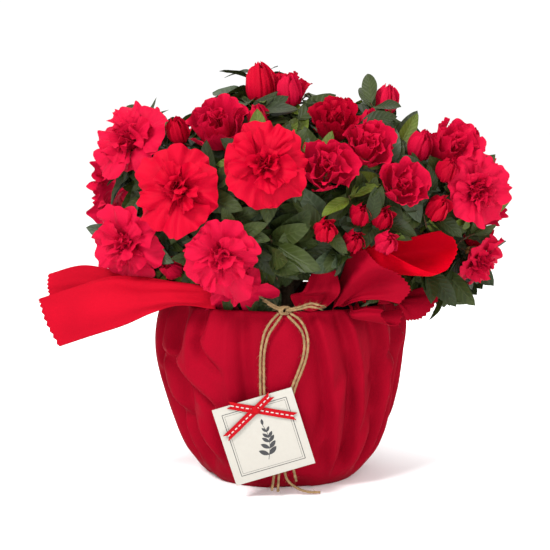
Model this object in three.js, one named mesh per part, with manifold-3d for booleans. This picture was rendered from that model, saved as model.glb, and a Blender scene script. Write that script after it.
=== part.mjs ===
// A double-flowered azalea in a nursery pot, dressed in a gathered fabric wrap tied with jute twine
// that holds a small gift card. Millimetres, +Z up, origin at the middle of the flat underside.
// Azimuths are in degrees: 0 points to the front (-Y) and 90 to the right (+X).

import * as THREE from 'three';
import { mergeVertices } from 'three/addons/utils/BufferGeometryUtils.js';
import Module from 'manifold-3d';

const wasm = await Module();
wasm.setup();

// ---------------------------------------------------------------- driving dimensions

const CLEARANCE = 0.3; // gap between neighbouring pieces
const SHORTEST_EDGE = 0.004;

const FABRIC = 1.8; // thickness of the wrap, hem and tails
const WRAP_HEIGHT = 141.5;
const WRAP_PROFILE = [[60, 0], [68, 8], [82, 36], [92, 68], [99, 100], [98, 126], [93, WRAP_HEIGHT]];
const WRAP_SEGMENTS = 44;
const WRAP_FOLDS = { broad: 2.6, broadCount: 7, pleat: 1.7, pleatCount: 15 };
const SMOOTH_PANEL = { azimuth: -0.08, width: 0.34 }; // radians
const WRAP_SWAY = { out: 4.5, height: 98, spread: 27 }; // how the wrap leans out to the left

const POT_TOP_RADIUS = 84;
const POT_BASE_RADIUS = 48;
const POT_HEIGHT = 128;
const POT_WALL = 2.2;
const POT_LIP = { out: 3, height: 12 };
const POT_SEGMENTS = 28;
const SOIL_DEPTH_BELOW_LIP = 8;

const TRUNK = { height: 62, lean: [7, -3], footRadius: 15, baseRadius: 8.5, topRadius: 6, sides: 10 };
const BOUGH = { baseRadius: 2.9, tipRadius: 1.9, sides: 5, steps: 3, arch: { out: 0.38, up: 0.2 } };
const TWIG = { stemRadius: 2.1, radius: 1.2, tipRadius: 1, firstFork: 0.12, lastFork: 0.75 };
const LEAF = { length: 46, width: 18, thickness: 1.92, spacing: 2.8, bend: 0.16, droop: 0.22 };
const HANGING = { below: 205, over: 30, droop: 0.9 }; // leaves low on the plant hang down more

const CROWN = { centre: [12, 0, 222], radii: [176, 142, 104] };
const LEAF_ATTEMPTS = 11; // how often a leaf is turned before it is skipped
const HUB_REACH = 0.66; // where the twigs of a mass spread, as a share of the crown's radius
const BOUGH_REACH = 0.4; // where a bough ends inside its mass
// Least distance between two heads, as a share of both radii.
const HEAD_SPACING = { open: 0.56, half: 0.8, bud: 0.84, shoot: 0.9 };
// How far a head of each kind turns to face upwards: buds stand up on their stalks.
const HEAD_LIFT = { open: 0, half: 0.4, bud: 1.1, shoot: 0 };
// How far out a head stands, as a share of its mass's reach.
const HEAD_REACH = { open: 0.95, half: 0.95, bud: 1.02, shoot: 0.92 };
// The spiral of places, in degrees, that a head tries round the lead flower.
const SPIRAL = { start: 7, growth: 3.6, openGrowth: 2.88, rise: 1.15, places: 90 };
const FRONT_PULL = 0.75; // how far the blooms of the front turn to face straight forwards

const TWINE_DIAMETER = 2;
const TWINE_KNOT = { centre: [1.5, -95, 144.5], radii: [5, 3.4, 3.6] };
const TAG = { side: 62, thickness: 0.8, centre: [-14, -97.6, 49.5], roll: 17, lean: 6 };
const RIBBON = {
  width: 5.7, thickness: 0.7, falling: [[-18.5, 32], [28.5, 8.5]], rising: [[-27.5, 7.5], [15.5, 30.5]],
};
const RIBBON_KNOT = { size: [6, 3, 6.4], at: [0.5, 22.4] };

// The masses of the crown: each one's name, azimuth, elevation and reach on the crown, its lead flower and
// that flower's radius, and how many other heads of each kind are placed round the lead by rule.
const massRow = (name, azimuth, elevation, reach, lead, size, others) => (
  { name, azimuth, elevation, reach, lead, size, others }
);
const MASSES = [
  massRow('left_front', -32, 8, 0.95, 'open', 34, { open: 0, half: 0, bud: 2, shoot: 2 }),
  massRow('centre_front', -9, 19, 0.95, 'open', 33, { open: 0, half: 1, bud: 1, shoot: 2 }),
  massRow('low_front', -21, -20, 0.96, 'open', 30, { open: 1, half: 0, bud: 0, shoot: 3 }),
  massRow('left_low', -53, -17, 0.96, 'open', 31, { open: 0, half: 0, bud: 2, shoot: 3 }),
  massRow('left_upper', -63, 30, 0.94, 'open', 34, { open: 0, half: 1, bud: 2, shoot: 2 }),
  massRow('top_left', -35, 46, 0.89, 'half', 24, { open: 0, half: 1, bud: 2, shoot: 2 }),
  massRow('top', -45, 76, 0.99, 'bud', 13, { open: 0, half: 1, bud: 1, shoot: 2 }),
  massRow('top_right', 24, 33, 0.88, 'half', 20, { open: 0, half: 1, bud: 4, shoot: 1 }),
  massRow('front_upper', 8, 21, 0.9, 'half', 22, { open: 0, half: 1, bud: 3, shoot: 1 }),
  massRow('front_right', 30, 11.5, 0.9, 'half', 18, { open: 0, half: 1, bud: 4, shoot: 2 }),
  massRow('right_upper', 58, 30, 0.93, 'half', 22, { open: 0, half: 1, bud: 3, shoot: 1 }),
  massRow('right', 55, 6.5, 0.93, 'open', 29, { open: 0, half: 1, bud: 2, shoot: 2 }),
  massRow('right_low', 70, -28, 0.96, 'open', 24, { open: 0, half: 1, bud: 1, shoot: 2 }),
  massRow('low_right', 62, -36, 0.95, 'shoot', 10, { open: 0, half: 0, bud: 0, shoot: 3 }),
  massRow('back_left', -112, 4, 0.93, 'open', 33, { open: 0, half: 1, bud: 1, shoot: 1 }),
  massRow('back', 178, 12, 0.94, 'open', 34, { open: 0, half: 0, bud: 1, shoot: 2 }),
  massRow('back_right', 108, 2, 0.93, 'open', 32, { open: 0, half: 1, bud: 1, shoot: 1 }),
  massRow('back_top_left', -152, 30, 0.82, 'open', 31, { open: 0, half: 1, bud: 1, shoot: 1 }),
  massRow('back_top_right', 150, 28, 0.8, 'open', 30, { open: 0, half: 1, bud: 1, shoot: 1 }),
  massRow('back_low_left', -152, -20, 0.95, 'open', 29, { open: 0, half: 0, bud: 1, shoot: 2 }),
  massRow('back_low_right', 148, -22, 0.95, 'open', 30, { open: 0, half: 0, bud: 1, shoot: 2 }),
];

const HEAD_RADII = { open: 28, half: 18, bud: 9.5, shoot: 8 };

// Balls that no flower head may enter: the space of the fabric tails and the twine's knot, and last the
// two gaps in the top of the crown, where the sky shows.
const HEAD_GUARDS = [
  { centre: [-70, -84, 155], radius: 16 }, { centre: [-112, -78, 153], radius: 22 },
  { centre: [-152, -75, 147], radius: 24 }, { centre: [32, -94, 164], radius: 16 },
  { centre: [62, -94, 170], radius: 24 }, { centre: [88, -88, 180], radius: 24 },
  { centre: [116, -82, 187], radius: 22 }, { centre: [82, -98, 152], radius: 22 },
  { centre: [110, -57, 146], radius: 20 }, { centre: [-5, -93, 149], radius: 14 },
  { centre: [-72, -25, 308], radius: 27 }, { centre: [110, -25, 288], radius: 27 },
];

// ---------------------------------------------------------------- small helpers

const vector = (x, y, z) => new THREE.Vector3(x, y, z);
const radians = (degrees) => (degrees * Math.PI) / 180;
const UP = vector(0, 0, 1);
const GOLDEN_ANGLE = Math.PI * (3 - Math.sqrt(5));

// A linear congruential generator: the same seed always gives the same plant.
function seededRandom(seed) {
  let state = (seed * 2654435761) >>> 0;
  return () => {
    state = (Math.imul(state, 1664525) + 1013904223) >>> 0;
    return state / 4294967296;
  };
}

// Moves every vertex of a geometry by a function of its position.
function mapVertices(geometry, move) {
  const position = geometry.attributes.position;
  const point = vector(0, 0, 0);
  for (let i = 0; i < position.count; i++) {
    point.fromBufferAttribute(position, i);
    const moved = move(point);
    position.setXYZ(i, moved.x, moved.y, moved.z);
  }
  return geometry;
}

// Turns a closed geometry into a solid, with its seams merged and its faces pointing out.
function solidOf(geometry) {
  geometry.deleteAttribute('normal');
  geometry.deleteAttribute('uv');
  const merged = mergeVertices(geometry, 1e-3);
  const points = merged.attributes.position.array;
  const faces = [];
  let volume = 0;
  for (let i = 0; i < merged.index.count; i += 3) {
    const [a, b, c] = [0, 1, 2].map((k) => merged.index.getX(i + k));
    if (a === b || b === c || c === a) continue;
    faces.push(a, b, c);
    const [p, q, r] = [a, b, c].map((k) => vector(points[3 * k], points[3 * k + 1], points[3 * k + 2]));
    volume += p.dot(q.cross(r));
  }
  if (volume < 0) faces.reverse();
  const triVerts = Uint32Array.from(faces);
  const vertProperties = Float32Array.from(points);
  return new wasm.Manifold(new wasm.Mesh({ numProp: 3, vertProperties, triVerts }));
}

function geometryOf(solid) {
  const mesh = solid.getMesh();
  const geometry = new THREE.BufferGeometry();
  geometry.setAttribute('position', new THREE.BufferAttribute(mesh.vertProperties, 3));
  geometry.setIndex(new THREE.BufferAttribute(mesh.triVerts, 1));
  geometry.computeVertexNormals();
  return geometry;
}

// The largest body of a solid: cutting can leave loose scraps.
function largestBody(solid) {
  const bodies = solid.decompose();
  return bodies.reduce((best, body) => (body.volume() > best.volume() ? body : best));
}

// The turn that takes +Z to a direction.
const turnTo = (direction) => new THREE.Quaternion().setFromUnitVectors(UP, direction);

// A point at an azimuth and height, at a distance from the Z axis.
function around(azimuth, radius, z) {
  return vector(radius * Math.sin(azimuth), -radius * Math.cos(azimuth), z);
}

// A lathed solid whose profile is [radius, height] pairs; its first side faces the front.
function lathe(profile, segments) {
  const points = profile.map(([radius, height]) => new THREE.Vector2(radius, height));
  return new THREE.LatheGeometry(points, segments).rotateX(Math.PI / 2);
}

// ---------------------------------------------------------------- wrap, pot and soil

// How far the gathered fabric stands in or out at an azimuth. The front panel hangs smooth.
function wrapFold(azimuth, z) {
  const front = Math.exp(-Math.pow((azimuth - SMOOTH_PANEL.azimuth) / SMOOTH_PANEL.width, 2));
  const height = Math.sin(Math.PI * Math.min(1, (z + 8) / (WRAP_HEIGHT + 20)));
  const broad = WRAP_FOLDS.broad * Math.sin(WRAP_FOLDS.broadCount * azimuth + 0.6);
  const uneven = 1.4 * Math.sin(3 * azimuth);
  const pleat = WRAP_FOLDS.pleat * Math.sin(WRAP_FOLDS.pleatCount * azimuth + uneven);
  const sway = -Math.sin(azimuth) * Math.exp(-Math.pow((z - WRAP_SWAY.height) / WRAP_SWAY.spread, 2));
  return (1 - front) * height * (broad + pleat) + WRAP_SWAY.out * sway;
}

// The wrap: one fabric cup with a flat floor, gathered into folds up its side.
function wrapSolid(grow = 0) {
  const outer = WRAP_PROFILE.map(([radius, z]) => [radius + grow, z]);
  const floor = [outer[0][0] - FABRIC, FABRIC + grow];
  const inner = WRAP_PROFILE.slice(1).filter((_, i) => i % 2 === 1)
    .map(([radius, z]) => [radius - FABRIC - grow, z]);
  const rim = [WRAP_PROFILE.at(-1)[0] - FABRIC / 2, WRAP_HEIGHT + FABRIC / 2 + grow];
  const profile = [[0, 0], ...outer, rim, ...inner.reverse(), floor, [0, FABRIC + grow]];
  const geometry = mapVertices(lathe(profile, WRAP_SEGMENTS), (point) => {
    const radius = Math.hypot(point.x, point.y);
    const azimuth = Math.atan2(point.x, -point.y);
    const fold = radius > WRAP_PROFILE[0][0] + 1 ? wrapFold(azimuth, point.z) : 0;
    return around(azimuth, radius + fold, point.z);
  });
  return solidOf(geometry);
}

const POT_FLOOR = FABRIC + CLEARANCE;
const POT_TOP = POT_FLOOR + POT_HEIGHT;
const SOIL_TOP = POT_TOP - SOIL_DEPTH_BELOW_LIP;
const POT_SLOPE = (POT_TOP_RADIUS - POT_BASE_RADIUS) / POT_HEIGHT;
const potRadius = (z) => POT_BASE_RADIUS + POT_SLOPE * (z - POT_FLOOR);

// A tapered nursery pot with a thick rolled lip.
function potSolid() {
  const lipFoot = POT_TOP - POT_LIP.height;
  const inside = POT_FLOOR + POT_WALL;
  const profile = [
    [0, POT_FLOOR], [POT_BASE_RADIUS, POT_FLOOR], [potRadius(lipFoot), lipFoot],
    [potRadius(lipFoot) + POT_LIP.out, lipFoot + 1], [POT_TOP_RADIUS + POT_LIP.out, POT_TOP - 1],
    [POT_TOP_RADIUS + POT_LIP.out - 1, POT_TOP], [POT_TOP_RADIUS - POT_WALL + 1, POT_TOP],
    [potRadius(inside) - POT_WALL, inside], [0, inside],
  ];
  return solidOf(lathe(profile, POT_SEGMENTS));
}

// Compost filling the pot, level where the trunk stands and a little lower at its edge.
function soilSolid() {
  const foot = POT_FLOOR + POT_WALL + CLEARANCE;
  const inner = (z) => potRadius(z) - POT_WALL - 2 * CLEARANCE;
  const edge = SOIL_TOP - 3;
  const profile = [
    [0, foot], [inner(foot) - 1, foot], [inner(edge), edge], [TRUNK.footRadius * 2, SOIL_TOP], [0, SOIL_TOP],
  ];
  return solidOf(lathe(profile, POT_SEGMENTS));
}

// ---------------------------------------------------------------- fabric tails

// A smooth sheet through a net of points: rows run along the tail, columns across it.
function netPoint(net, u, v) {
  const across = net.map((row) => new THREE.CatmullRomCurve3(row.map((p) => vector(...p))).getPoint(v));
  return new THREE.CatmullRomCurve3(across).getPoint(u);
}

function sheetSolid(net, steps, grow = 0) {
  const half = FABRIC / 2 + grow;
  const nudge = 0.01;
  const geometry = new THREE.BoxGeometry(1, 1, 1, steps[0], steps[1], 1);
  mapVertices(geometry, (point) => {
    const u = THREE.MathUtils.clamp(point.x + 0.5, 0, 1);
    const v = THREE.MathUtils.clamp(point.y + 0.5, 0, 1);
    const [u0, u1] = [Math.max(0, u - nudge), Math.min(1, u + nudge)];
    const [v0, v1] = [Math.max(0, v - nudge), Math.min(1, v + nudge)];
    const along = netPoint(net, u1, v).sub(netPoint(net, u0, v));
    const across = netPoint(net, u, v1).sub(netPoint(net, u, v0));
    const normal = along.cross(across).normalize();
    return netPoint(net, u, v).addScaledVector(normal, Math.sign(point.z) * half);
  });
  return solidOf(geometry);
}

// The middle of a sheet where it lies on the wrap's rim.
function onRim(degrees, lift = 0) {
  const azimuth = radians(degrees);
  const radius = WRAP_PROFILE.at(-1)[0] - FABRIC / 2 + wrapFold(azimuth, WRAP_HEIGHT);
  return around(azimuth, radius, WRAP_HEIGHT + FABRIC + lift).toArray();
}

// The free corners of the wrap, gathered over its rim. Each net starts at the rim.
const TAILS = {
  wrap_tail_left_front: {
    steps: [9, 3],
    net: [
      [[-50, -76, 160], [-50, -81, 158], [-51, -80, 151], onRim(-33, -0.2)],
      [[-84, -76, 164], [-83, -86, 161], [-82, -90, 153], [-80, -87, 146.4]],
      [[-108, -74, 167], [-107, -84, 161.5], [-104, -92, 151], [-98, -90, 141.5]],
      [[-130, -74, 167], [-129, -81, 164.5], [-125, -91, 149], [-118, -89, 132.5]],
      [[-157, -74, 159], [-156.5, -78, 156.5], [-152, -86, 140], [-146, -86, 123]],
      [[-185, -73, 150], [-184, -75, 147.5], [-178, -80, 132], [-169, -82, 114.8]],
    ],
  },
  wrap_tail_left_back: {
    steps: [6, 2],
    net: [
      [[-71, -60, 163], [-73, -59, 154], onRim(-52, -0.2)],
      [[-116, -55, 167], [-116, -59, 156], [-114, -56, 146]],
      [[-153, -48, 173], [-152, -52, 161], [-149, -50, 149]],
      [[-181.5, -43, 165.5], [-182, -47, 156.5], [-180.5, -46, 147.5]],
    ],
  },
  wrap_tail_right_upper: {
    steps: [9, 5],
    net: [
      [
        [57, -69.5, 148.5], [58.5, -67.5, 148], [60.5, -65.5, 147.4],
        [62.5, -65.5, 146.2], onRim(44.5, -0.3),
      ],
      [[51, -76, 187], [53, -70, 178], [57, -72, 170], [60, -82, 170], [58, -88, 180]],
      [[62, -76, 192.5], [64, -68, 181], [68, -78, 170.5], [71, -90, 173], [63, -93, 190.5]],
      [[77, -74, 193.6], [80, -65, 182], [83, -81, 171], [85, -94, 174.5], [75.6, -99, 188.3]],
      [[96, -72, 196.4], [100, -62, 184], [98, -84, 170.3], [95, -98, 172.5], [91.8, -103, 180.4]],
      [[116.5, -72, 201], [121, -64, 187], [113, -84, 171.5], [108, -96, 170.5], [105.5, -101, 174.5]],
      [
        [125.6, -72, 202.2], [132.6, -70, 188.6], [125.5, -81, 176.5],
        [117.5, -91, 173], [110.5, -99, 173],
      ],
    ],
  },
  wrap_tail_right_middle: {
    steps: [7, 6],
    net: [
      [onRim(24, -0.4), [38.5, -84, 145.2], [40, -83.8, 146], [41.5, -83.4, 146.4], [42.8, -83, 145.8]],
      [[43.8, -80, 170.3], [51.2, -100, 167], [55.4, -91, 157.2], [58.9, -95, 154.6], [58.9, -96, 152]],
      [[49.4, -90, 186.5], [64, -108, 178.5], [71, -94, 165], [77, -101, 157.5], [72, -102, 153.5]],
      [[61.4, -101, 191], [70, -109, 181], [85.5, -106, 173], [94.9, -100, 161], [86.6, -104, 150.5]],
    ],
  },
  wrap_tail_right_curl: {
    steps: [6, 6],
    net: [
      [[49, -81, 147.5], [50.5, -79.5, 145.8], onRim(35, 0.3), [55, -72, 145.8], [56, -69.5, 148.5]],
      [
        [52.5, -91.5, 144.6], [52, -95.5, 141.4], [53.3, -91, 139],
        [58.2, -84, 138.8], [61.2, -80, 142.5],
      ],
      [[63.3, -98, 146.6], [61.6, -103.5, 142.8], [66.3, -100, 137], [73.6, -90, 136], [77, -84, 143]],
      [
        [74.5, -105, 147.2], [72, -111, 144], [78.4, -106.5, 135.6],
        [87.3, -95, 134.3], [90.8, -88, 144.7],
      ],
    ],
  },
  wrap_tail_right_gather: {
    steps: [7, 4],
    net: [
      [[10, -88.5, 145.8], onRim(13.5, -0.3), [30, -86.6, 145.6]],
      [[6, -85, 154], [25, -87.5, 154], [39.5, -96.5, 154]],
      [[14, -95, 158], [29, -99.5, 159.5], [42.5, -101, 160]],
      [[21, -92, 171], [32, -95, 171.5], [41, -94, 170]],
      [[28.5, -86, 182.5], [31.5, -88, 184.5], [35.5, -88, 182.5]],
    ],
  },
  wrap_tail_right_back: {
    steps: [5, 3],
    net: [
      [[70, -63, 148], [73.5, -60, 146], onRim(52, 0.2), [79, -51, 147.5]],
      [[86, -66, 147], [92, -62, 145], [98, -57, 148], [99, -50, 154]],
      [[95, -66, 132], [107, -62, 133.5], [121, -56, 149], [124, -50, 160]],
    ],
  },
};

// ---------------------------------------------------------------- twine, card and ribbon

// Each strand leaves the knot on the rim, lies on the front panel, and passes behind the card.
const TWINE_ROUTES = {
  twine_left_outer: [
    [-2.9, -96.2, 142.6], [-8.8, -98.6, 136.5], [-13, -99.9, 129.5], [-15.5, -100.4, 119],
    [-16.5, -100.6, 108], [-16.5, -100.1, 98], [-16.5, -99, 88], [-16, -98, 78], [-14, -96.4, 66],
    [-10, -94, 52], [-7, -91, 38], [-6, -88, 24], [-7, -86, 12], [-8, -85, 5],
  ],
  twine_left_inner: [
    [-0.8, -97.3, 141], [-5.4, -99.6, 134.8], [-10, -100.8, 127.7], [-12.9, -101.1, 118],
    [-13.9, -101, 108], [-13.9, -100.6, 98], [-13.8, -99.6, 88], [-13.2, -98.5, 78],
    [-10.8, -96.4, 66], [-6.4, -94, 52], [-3.4, -91, 38], [-2.4, -88, 24], [-3, -85.5, 12],
    [-3.4, -84.6, 4],
  ],
  twine_right_inner: [
    [3.7, -97.3, 141], [10, -99.8, 135.2], [14.6, -100.9, 128.8], [16.2, -101, 119.4], [14.8, -101, 109],
    [11.4, -100.8, 99], [7.6, -99.8, 89], [4.3, -98.5, 78], [1.6, -96.4, 66], [0.4, -94, 52],
    [0.6, -91, 38], [1.4, -87.5, 24], [3.6, -83, 13], [10, -81, 6.5], [19, -80, 2.6], [29, -78.5, 1.8],
  ],
  twine_right_outer: [
    [5.9, -96.2, 142.6], [12.8, -98.8, 138], [17.4, -100.1, 130], [18.9, -100.6, 120],
    [17.5, -100.6, 109.5], [14.1, -100.3, 99.5], [10.3, -99.3, 89.5], [7.2, -98, 79], [5.4, -95.8, 67],
    [4.6, -93, 53], [5.4, -90, 39], [7.4, -87.2, 27], [9.4, -85.2, 17], [10.6, -84.4, 12],
  ],
};

function tubeGeometry(points, diameter, sides) {
  const path = new THREE.CatmullRomCurve3(points.map((p) => vector(...p)));
  const corners = Array.from({ length: sides }, (_, i) => {
    const angle = (2 * Math.PI * i) / sides;
    return new THREE.Vector2((diameter / 2) * Math.cos(angle), (diameter / 2) * Math.sin(angle));
  });
  const steps = Math.round(path.getLength() / (3 * diameter));
  const outline = new THREE.Shape(corners);
  return new THREE.ExtrudeGeometry(outline, { steps, bevelEnabled: false, extrudePath: path });
}

// The knot on the rim with the two short ends of its bow.
function knotSolid() {
  const knot = new THREE.SphereGeometry(1, 10, 6).scale(...TWINE_KNOT.radii);
  knot.translate(...TWINE_KNOT.centre);
  const leftRoute = [[0, -95, 145.3], [-7, -94, 148.6], [-13, -91, 152]];
  const rightRoute = [[3, -96, 145.3], [13, -99.5, 148], [21, -103, 151], [27, -105, 150]];
  const ends = [leftRoute, rightRoute].map((route) => solidOf(tubeGeometry(route, TWINE_DIAMETER, 6)));
  return solidOf(knot).add(ends[0]).add(ends[1]);
}

// A flat strip of ribbon from one end to the other across the knot, in the card's own plane.
function ribbonStrip(from, to, lift) {
  const start = vector(from[0], -lift, from[1]);
  const end = vector(to[0], -lift, to[1]);
  const run = end.clone().sub(start);
  const strip = new THREE.BoxGeometry(run.length(), RIBBON.thickness, RIBBON.width);
  strip.rotateY(-Math.atan2(run.z, run.x));
  const middle = start.add(end).multiplyScalar(0.5);
  return solidOf(strip.translate(middle.x, middle.y, middle.z));
}

// The ribbon on the card: two strips that cross, and the knot where they do.
function ribbonSolid() {
  const low = TAG.thickness / 2 + CLEARANCE + RIBBON.thickness / 2;
  const high = low + RIBBON.thickness * 0.8;
  const falling = ribbonStrip(...RIBBON.falling, low);
  const rising = ribbonStrip(...RIBBON.rising, high);
  const knot = new THREE.BoxGeometry(...RIBBON_KNOT.size);
  knot.translate(RIBBON_KNOT.at[0], -(low + 1.2), RIBBON_KNOT.at[1]);
  return falling.add(rising).add(solidOf(knot));
}

// ---------------------------------------------------------------- trunk, boughs and masses

// The middle of the trunk, and its radius, at a share of its height.
function trunkPoint(share) {
  return vector(TRUNK.lean[0] * share, TRUNK.lean[1] * share, SOIL_TOP + CLEARANCE + TRUNK.height * share);
}

function trunkRadius(share) {
  const flare = (TRUNK.footRadius - TRUNK.baseRadius) * Math.exp(-share * 9);
  return TRUNK.baseRadius + (TRUNK.topRadius - TRUNK.baseRadius) * share + flare;
}

// The short trunk: flat where it leaves the compost, flared into root ridges, leaning to its fork.
function trunkSolid(grow = 0) {
  const geometry = new THREE.CylinderGeometry(1, 1, 1, TRUNK.sides, 8).rotateX(Math.PI / 2);
  mapVertices(geometry, (point) => {
    const share = point.z + 0.5;
    const angle = Math.atan2(point.y, point.x);
    const ridge = 1 + 0.16 * Math.exp(-share * 7) * Math.cos(5 * angle);
    const radius = Math.hypot(point.x, point.y) * (trunkRadius(share) * ridge + grow);
    const ends = share > 0.99 ? grow : 0;
    return trunkPoint(share).add(vector(radius * Math.cos(angle), radius * Math.sin(angle), ends));
  });
  return solidOf(geometry);
}

// A tapering limb along a curve.
function limbGeometry(curve, startRadius, endRadius, sides, steps) {
  const geometry = new THREE.CylinderGeometry(1, 1, 1, sides, steps).rotateX(Math.PI / 2);
  mapVertices(geometry, (point) => {
    const share = THREE.MathUtils.clamp(point.z + 0.5, 0, 1);
    const radius = startRadius + (endRadius - startRadius) * share;
    const side = vector(point.x * radius, point.y * radius, 0);
    return curve.getPoint(share).add(side.applyQuaternion(turnTo(curve.getTangent(share))));
  });
  return geometry;
}

// The direction of an azimuth and elevation on the crown, and the point at a share of its radii.
function crownPoint(azimuth, elevation, reach) {
  const [rx, ry, rz] = CROWN.radii;
  const [turn, rise] = [radians(azimuth), radians(elevation)];
  const level = vector(rx * Math.sin(turn), -ry * Math.cos(turn), 0);
  const offset = level.multiplyScalar(Math.cos(rise)).setZ(rz * Math.sin(rise));
  return vector(...CROWN.centre).addScaledVector(offset, reach);
}

const CELLS = MASSES.map((mass) => crownPoint(mass.azimuth, mass.elevation, HUB_REACH));

// The walls between each mass's space and the others': planes halfway between their hubs.
const CELL_WALLS = CELLS.map((own, index) => CELLS.filter((_, k) => k !== index).map((other) => {
  const normal = other.clone().sub(own).normalize();
  return new THREE.Plane().setFromNormalAndCoplanarPoint(normal, own.clone().add(other).multiplyScalar(0.5));
}));

// Whether a point lies in the mass's own space, which is all that is nearer to its hub than to others.
function inCell(point, index) {
  return CELL_WALLS[index].every((wall) => wall.distanceToPoint(point) < -CLEARANCE);
}

// The way a head at a point looks: out of the crown, in front a little more forwards, and lifted by kind.
function facingAt(point, kind) {
  const [rx, ry, rz] = CROWN.radii;
  const out = point.clone().sub(vector(...CROWN.centre));
  out.set(out.x / (rx * rx), out.y / (ry * ry), out.z / (rz * rz)).normalize();
  const pull = out.y < 0 ? FRONT_PULL * Math.min(1, -out.y * 2) : 0;
  return out.add(vector(0, -pull, HEAD_LIFT[kind])).normalize();
}

// The outer points of a flower head: what has to stay inside the mass's space.
const HEAD_DEPTH = { open: 0.7, half: 1.5, bud: 2.1, shoot: 1 };

function headOutline(head) {
  const turn = turnTo(head.facing);
  const points = [head.centre.clone()];
  for (let i = 0; i < 12; i++) {
    const angle = (i * Math.PI) / 6;
    const rim = vector(Math.cos(angle), Math.sin(angle), 0).multiplyScalar(head.radius);
    points.push(rim.applyQuaternion(turn).add(head.centre));
  }
  points.push(head.centre.clone().addScaledVector(head.facing, -head.radius * HEAD_DEPTH[head.kind]));
  return points;
}

function headFits(head, index, heads) {
  const guarded = HEAD_GUARDS.some((ball) => (
    head.centre.distanceTo(vector(...ball.centre)) < ball.radius + head.radius * 0.7
  ));
  const crowded = heads.some((other) => (
    head.centre.distanceTo(other.centre) < (head.radius + other.radius) * HEAD_SPACING[head.kind]
  ));
  return !guarded && !crowded && headOutline(head).every((point) => inCell(point, index));
}

// The flower heads of a mass: the lead, then the others on a widening spiral round it.
function headsOf(mass, index) {
  const random = seededRandom(index + 11);
  const leadAt = crownPoint(mass.azimuth, mass.elevation, mass.reach);
  const heads = [{ kind: mass.lead, radius: mass.size, centre: leadAt, facing: facingAt(leadAt, mass.lead) }];
  const narrowing = Math.max(0.35, Math.cos(radians(mass.elevation)));
  for (const [kind, count] of Object.entries(mass.others)) {
    for (let n = 0; n < count; n++) {
      const start = random() * 2 * Math.PI;
      const scale = 0.88 + 0.24 * random();
      for (let attempt = 0; attempt < SPIRAL.places; attempt++) {
        const growth = kind === 'open' ? SPIRAL.openGrowth : SPIRAL.growth;
        const spread = SPIRAL.start + growth * Math.sqrt(attempt);
        const angle = start + attempt * GOLDEN_ANGLE;
        const azimuth = mass.azimuth + (spread * Math.cos(angle)) / narrowing;
        const elevation = mass.elevation + SPIRAL.rise * spread * Math.sin(angle);
        const reach = mass.reach * HEAD_REACH[kind] - 0.1 * random();
        const centre = crownPoint(azimuth, elevation, reach);
        const head = { kind, radius: HEAD_RADII[kind] * scale, centre, facing: facingAt(centre, kind) };
        if (headFits(head, index, heads)) {
          heads.push(head);
          break;
        }
      }
    }
  }
  return heads;
}

// Profiles of the flower heads as shares of their radius: [radius, height] from the calyx up.
const HEAD_SHAPES = {
  open: {
    segments: 10, waves: 5, wave: 0.13,
    profile: [[0, -0.7], [0.6, -0.38], [1, 0], [0.55, 0.2], [0, 0.12]],
  },
  half: { segments: 8, waves: 4, wave: 0.12, profile: [[0, -1.5], [0.62, -0.9], [0.92, -0.05], [0, 0.25]] },
  bud: { segments: 5, waves: 0, wave: 0, profile: [[0, -2.1], [0.86, -1.05], [0.6, 0], [0, 0.6]] },
};

// A flower head: a lathed body whose rim waves in and out like overlapping petals.
function headGeometry(head, random) {
  const shape = HEAD_SHAPES[head.kind];
  const phase = random() * 2 * Math.PI;
  const geometry = mapVertices(lathe(shape.profile, shape.segments), (point) => {
    const radius = Math.hypot(point.x, point.y);
    const angle = Math.atan2(point.y, point.x);
    const wave = Math.cos(shape.waves * angle + phase);
    const grow = 1 - shape.wave * radius * (0.5 - 0.5 * wave);
    return vector(point.x * grow, point.y * grow, point.z + 0.1 * radius * radius * wave);
  });
  geometry.scale(head.radius, head.radius, head.radius);
  geometry.applyQuaternion(turnTo(head.facing));
  return geometry.translate(head.centre.x, head.centre.y, head.centre.z);
}

// A leaf: an eight-faced blade, rooted on its twig's axis, that bends down towards its tip.
function leafGeometry(root, direction, face, length) {
  const side = direction.clone().cross(face).normalize();
  const normal = side.clone().cross(direction).normalize();
  const width = LEAF.width * (length / LEAF.length);
  return mapVertices(new THREE.OctahedronGeometry(0.5), (point) => {
    const along = (point.x + 0.5) * length;
    const bend = -LEAF.bend * length * Math.pow(point.x + 0.5, 2);
    return root.clone().addScaledVector(direction, along)
      .addScaledVector(side, point.y * width)
      .addScaledVector(normal, point.z * LEAF.thickness + bend);
  });
}

function boxesMeet(a, b) {
  return [0, 1, 2].every((k) => a.min[k] <= b.max[k] && b.min[k] <= a.max[k]);
}

function touchesAny({ solid, box }, obstacles) {
  return obstacles.some((other) => boxesMeet(box, other.box) && solid.intersect(other.solid).volume() > 0);
}

const withBox = (solid) => ({ solid, box: solid.boundingBox() });

// A loose piece of a mass: its geometry, and its solid for the tests of what it touches.
const pieceOf = (geometry) => ({ geometry, ...withBox(solidOf(geometry.clone())) });

// Whether a solid has no crumbs: edges too short to keep their two ends apart once it is rounded off.
function isClean(solid) {
  const { vertProperties: points, triVerts: corners } = solid.getMesh();
  const point = (i) => vector(points[3 * i], points[3 * i + 1], points[3 * i + 2]);
  for (let i = 0; i < corners.length; i++) {
    const next = corners[i % 3 === 2 ? i - 2 : i + 1];
    if (point(corners[i]).distanceTo(point(next)) < SHORTEST_EDGE) return false;
  }
  return true;
}

const NUDGE = vector(0.03, -0.02, 0.024);

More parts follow.
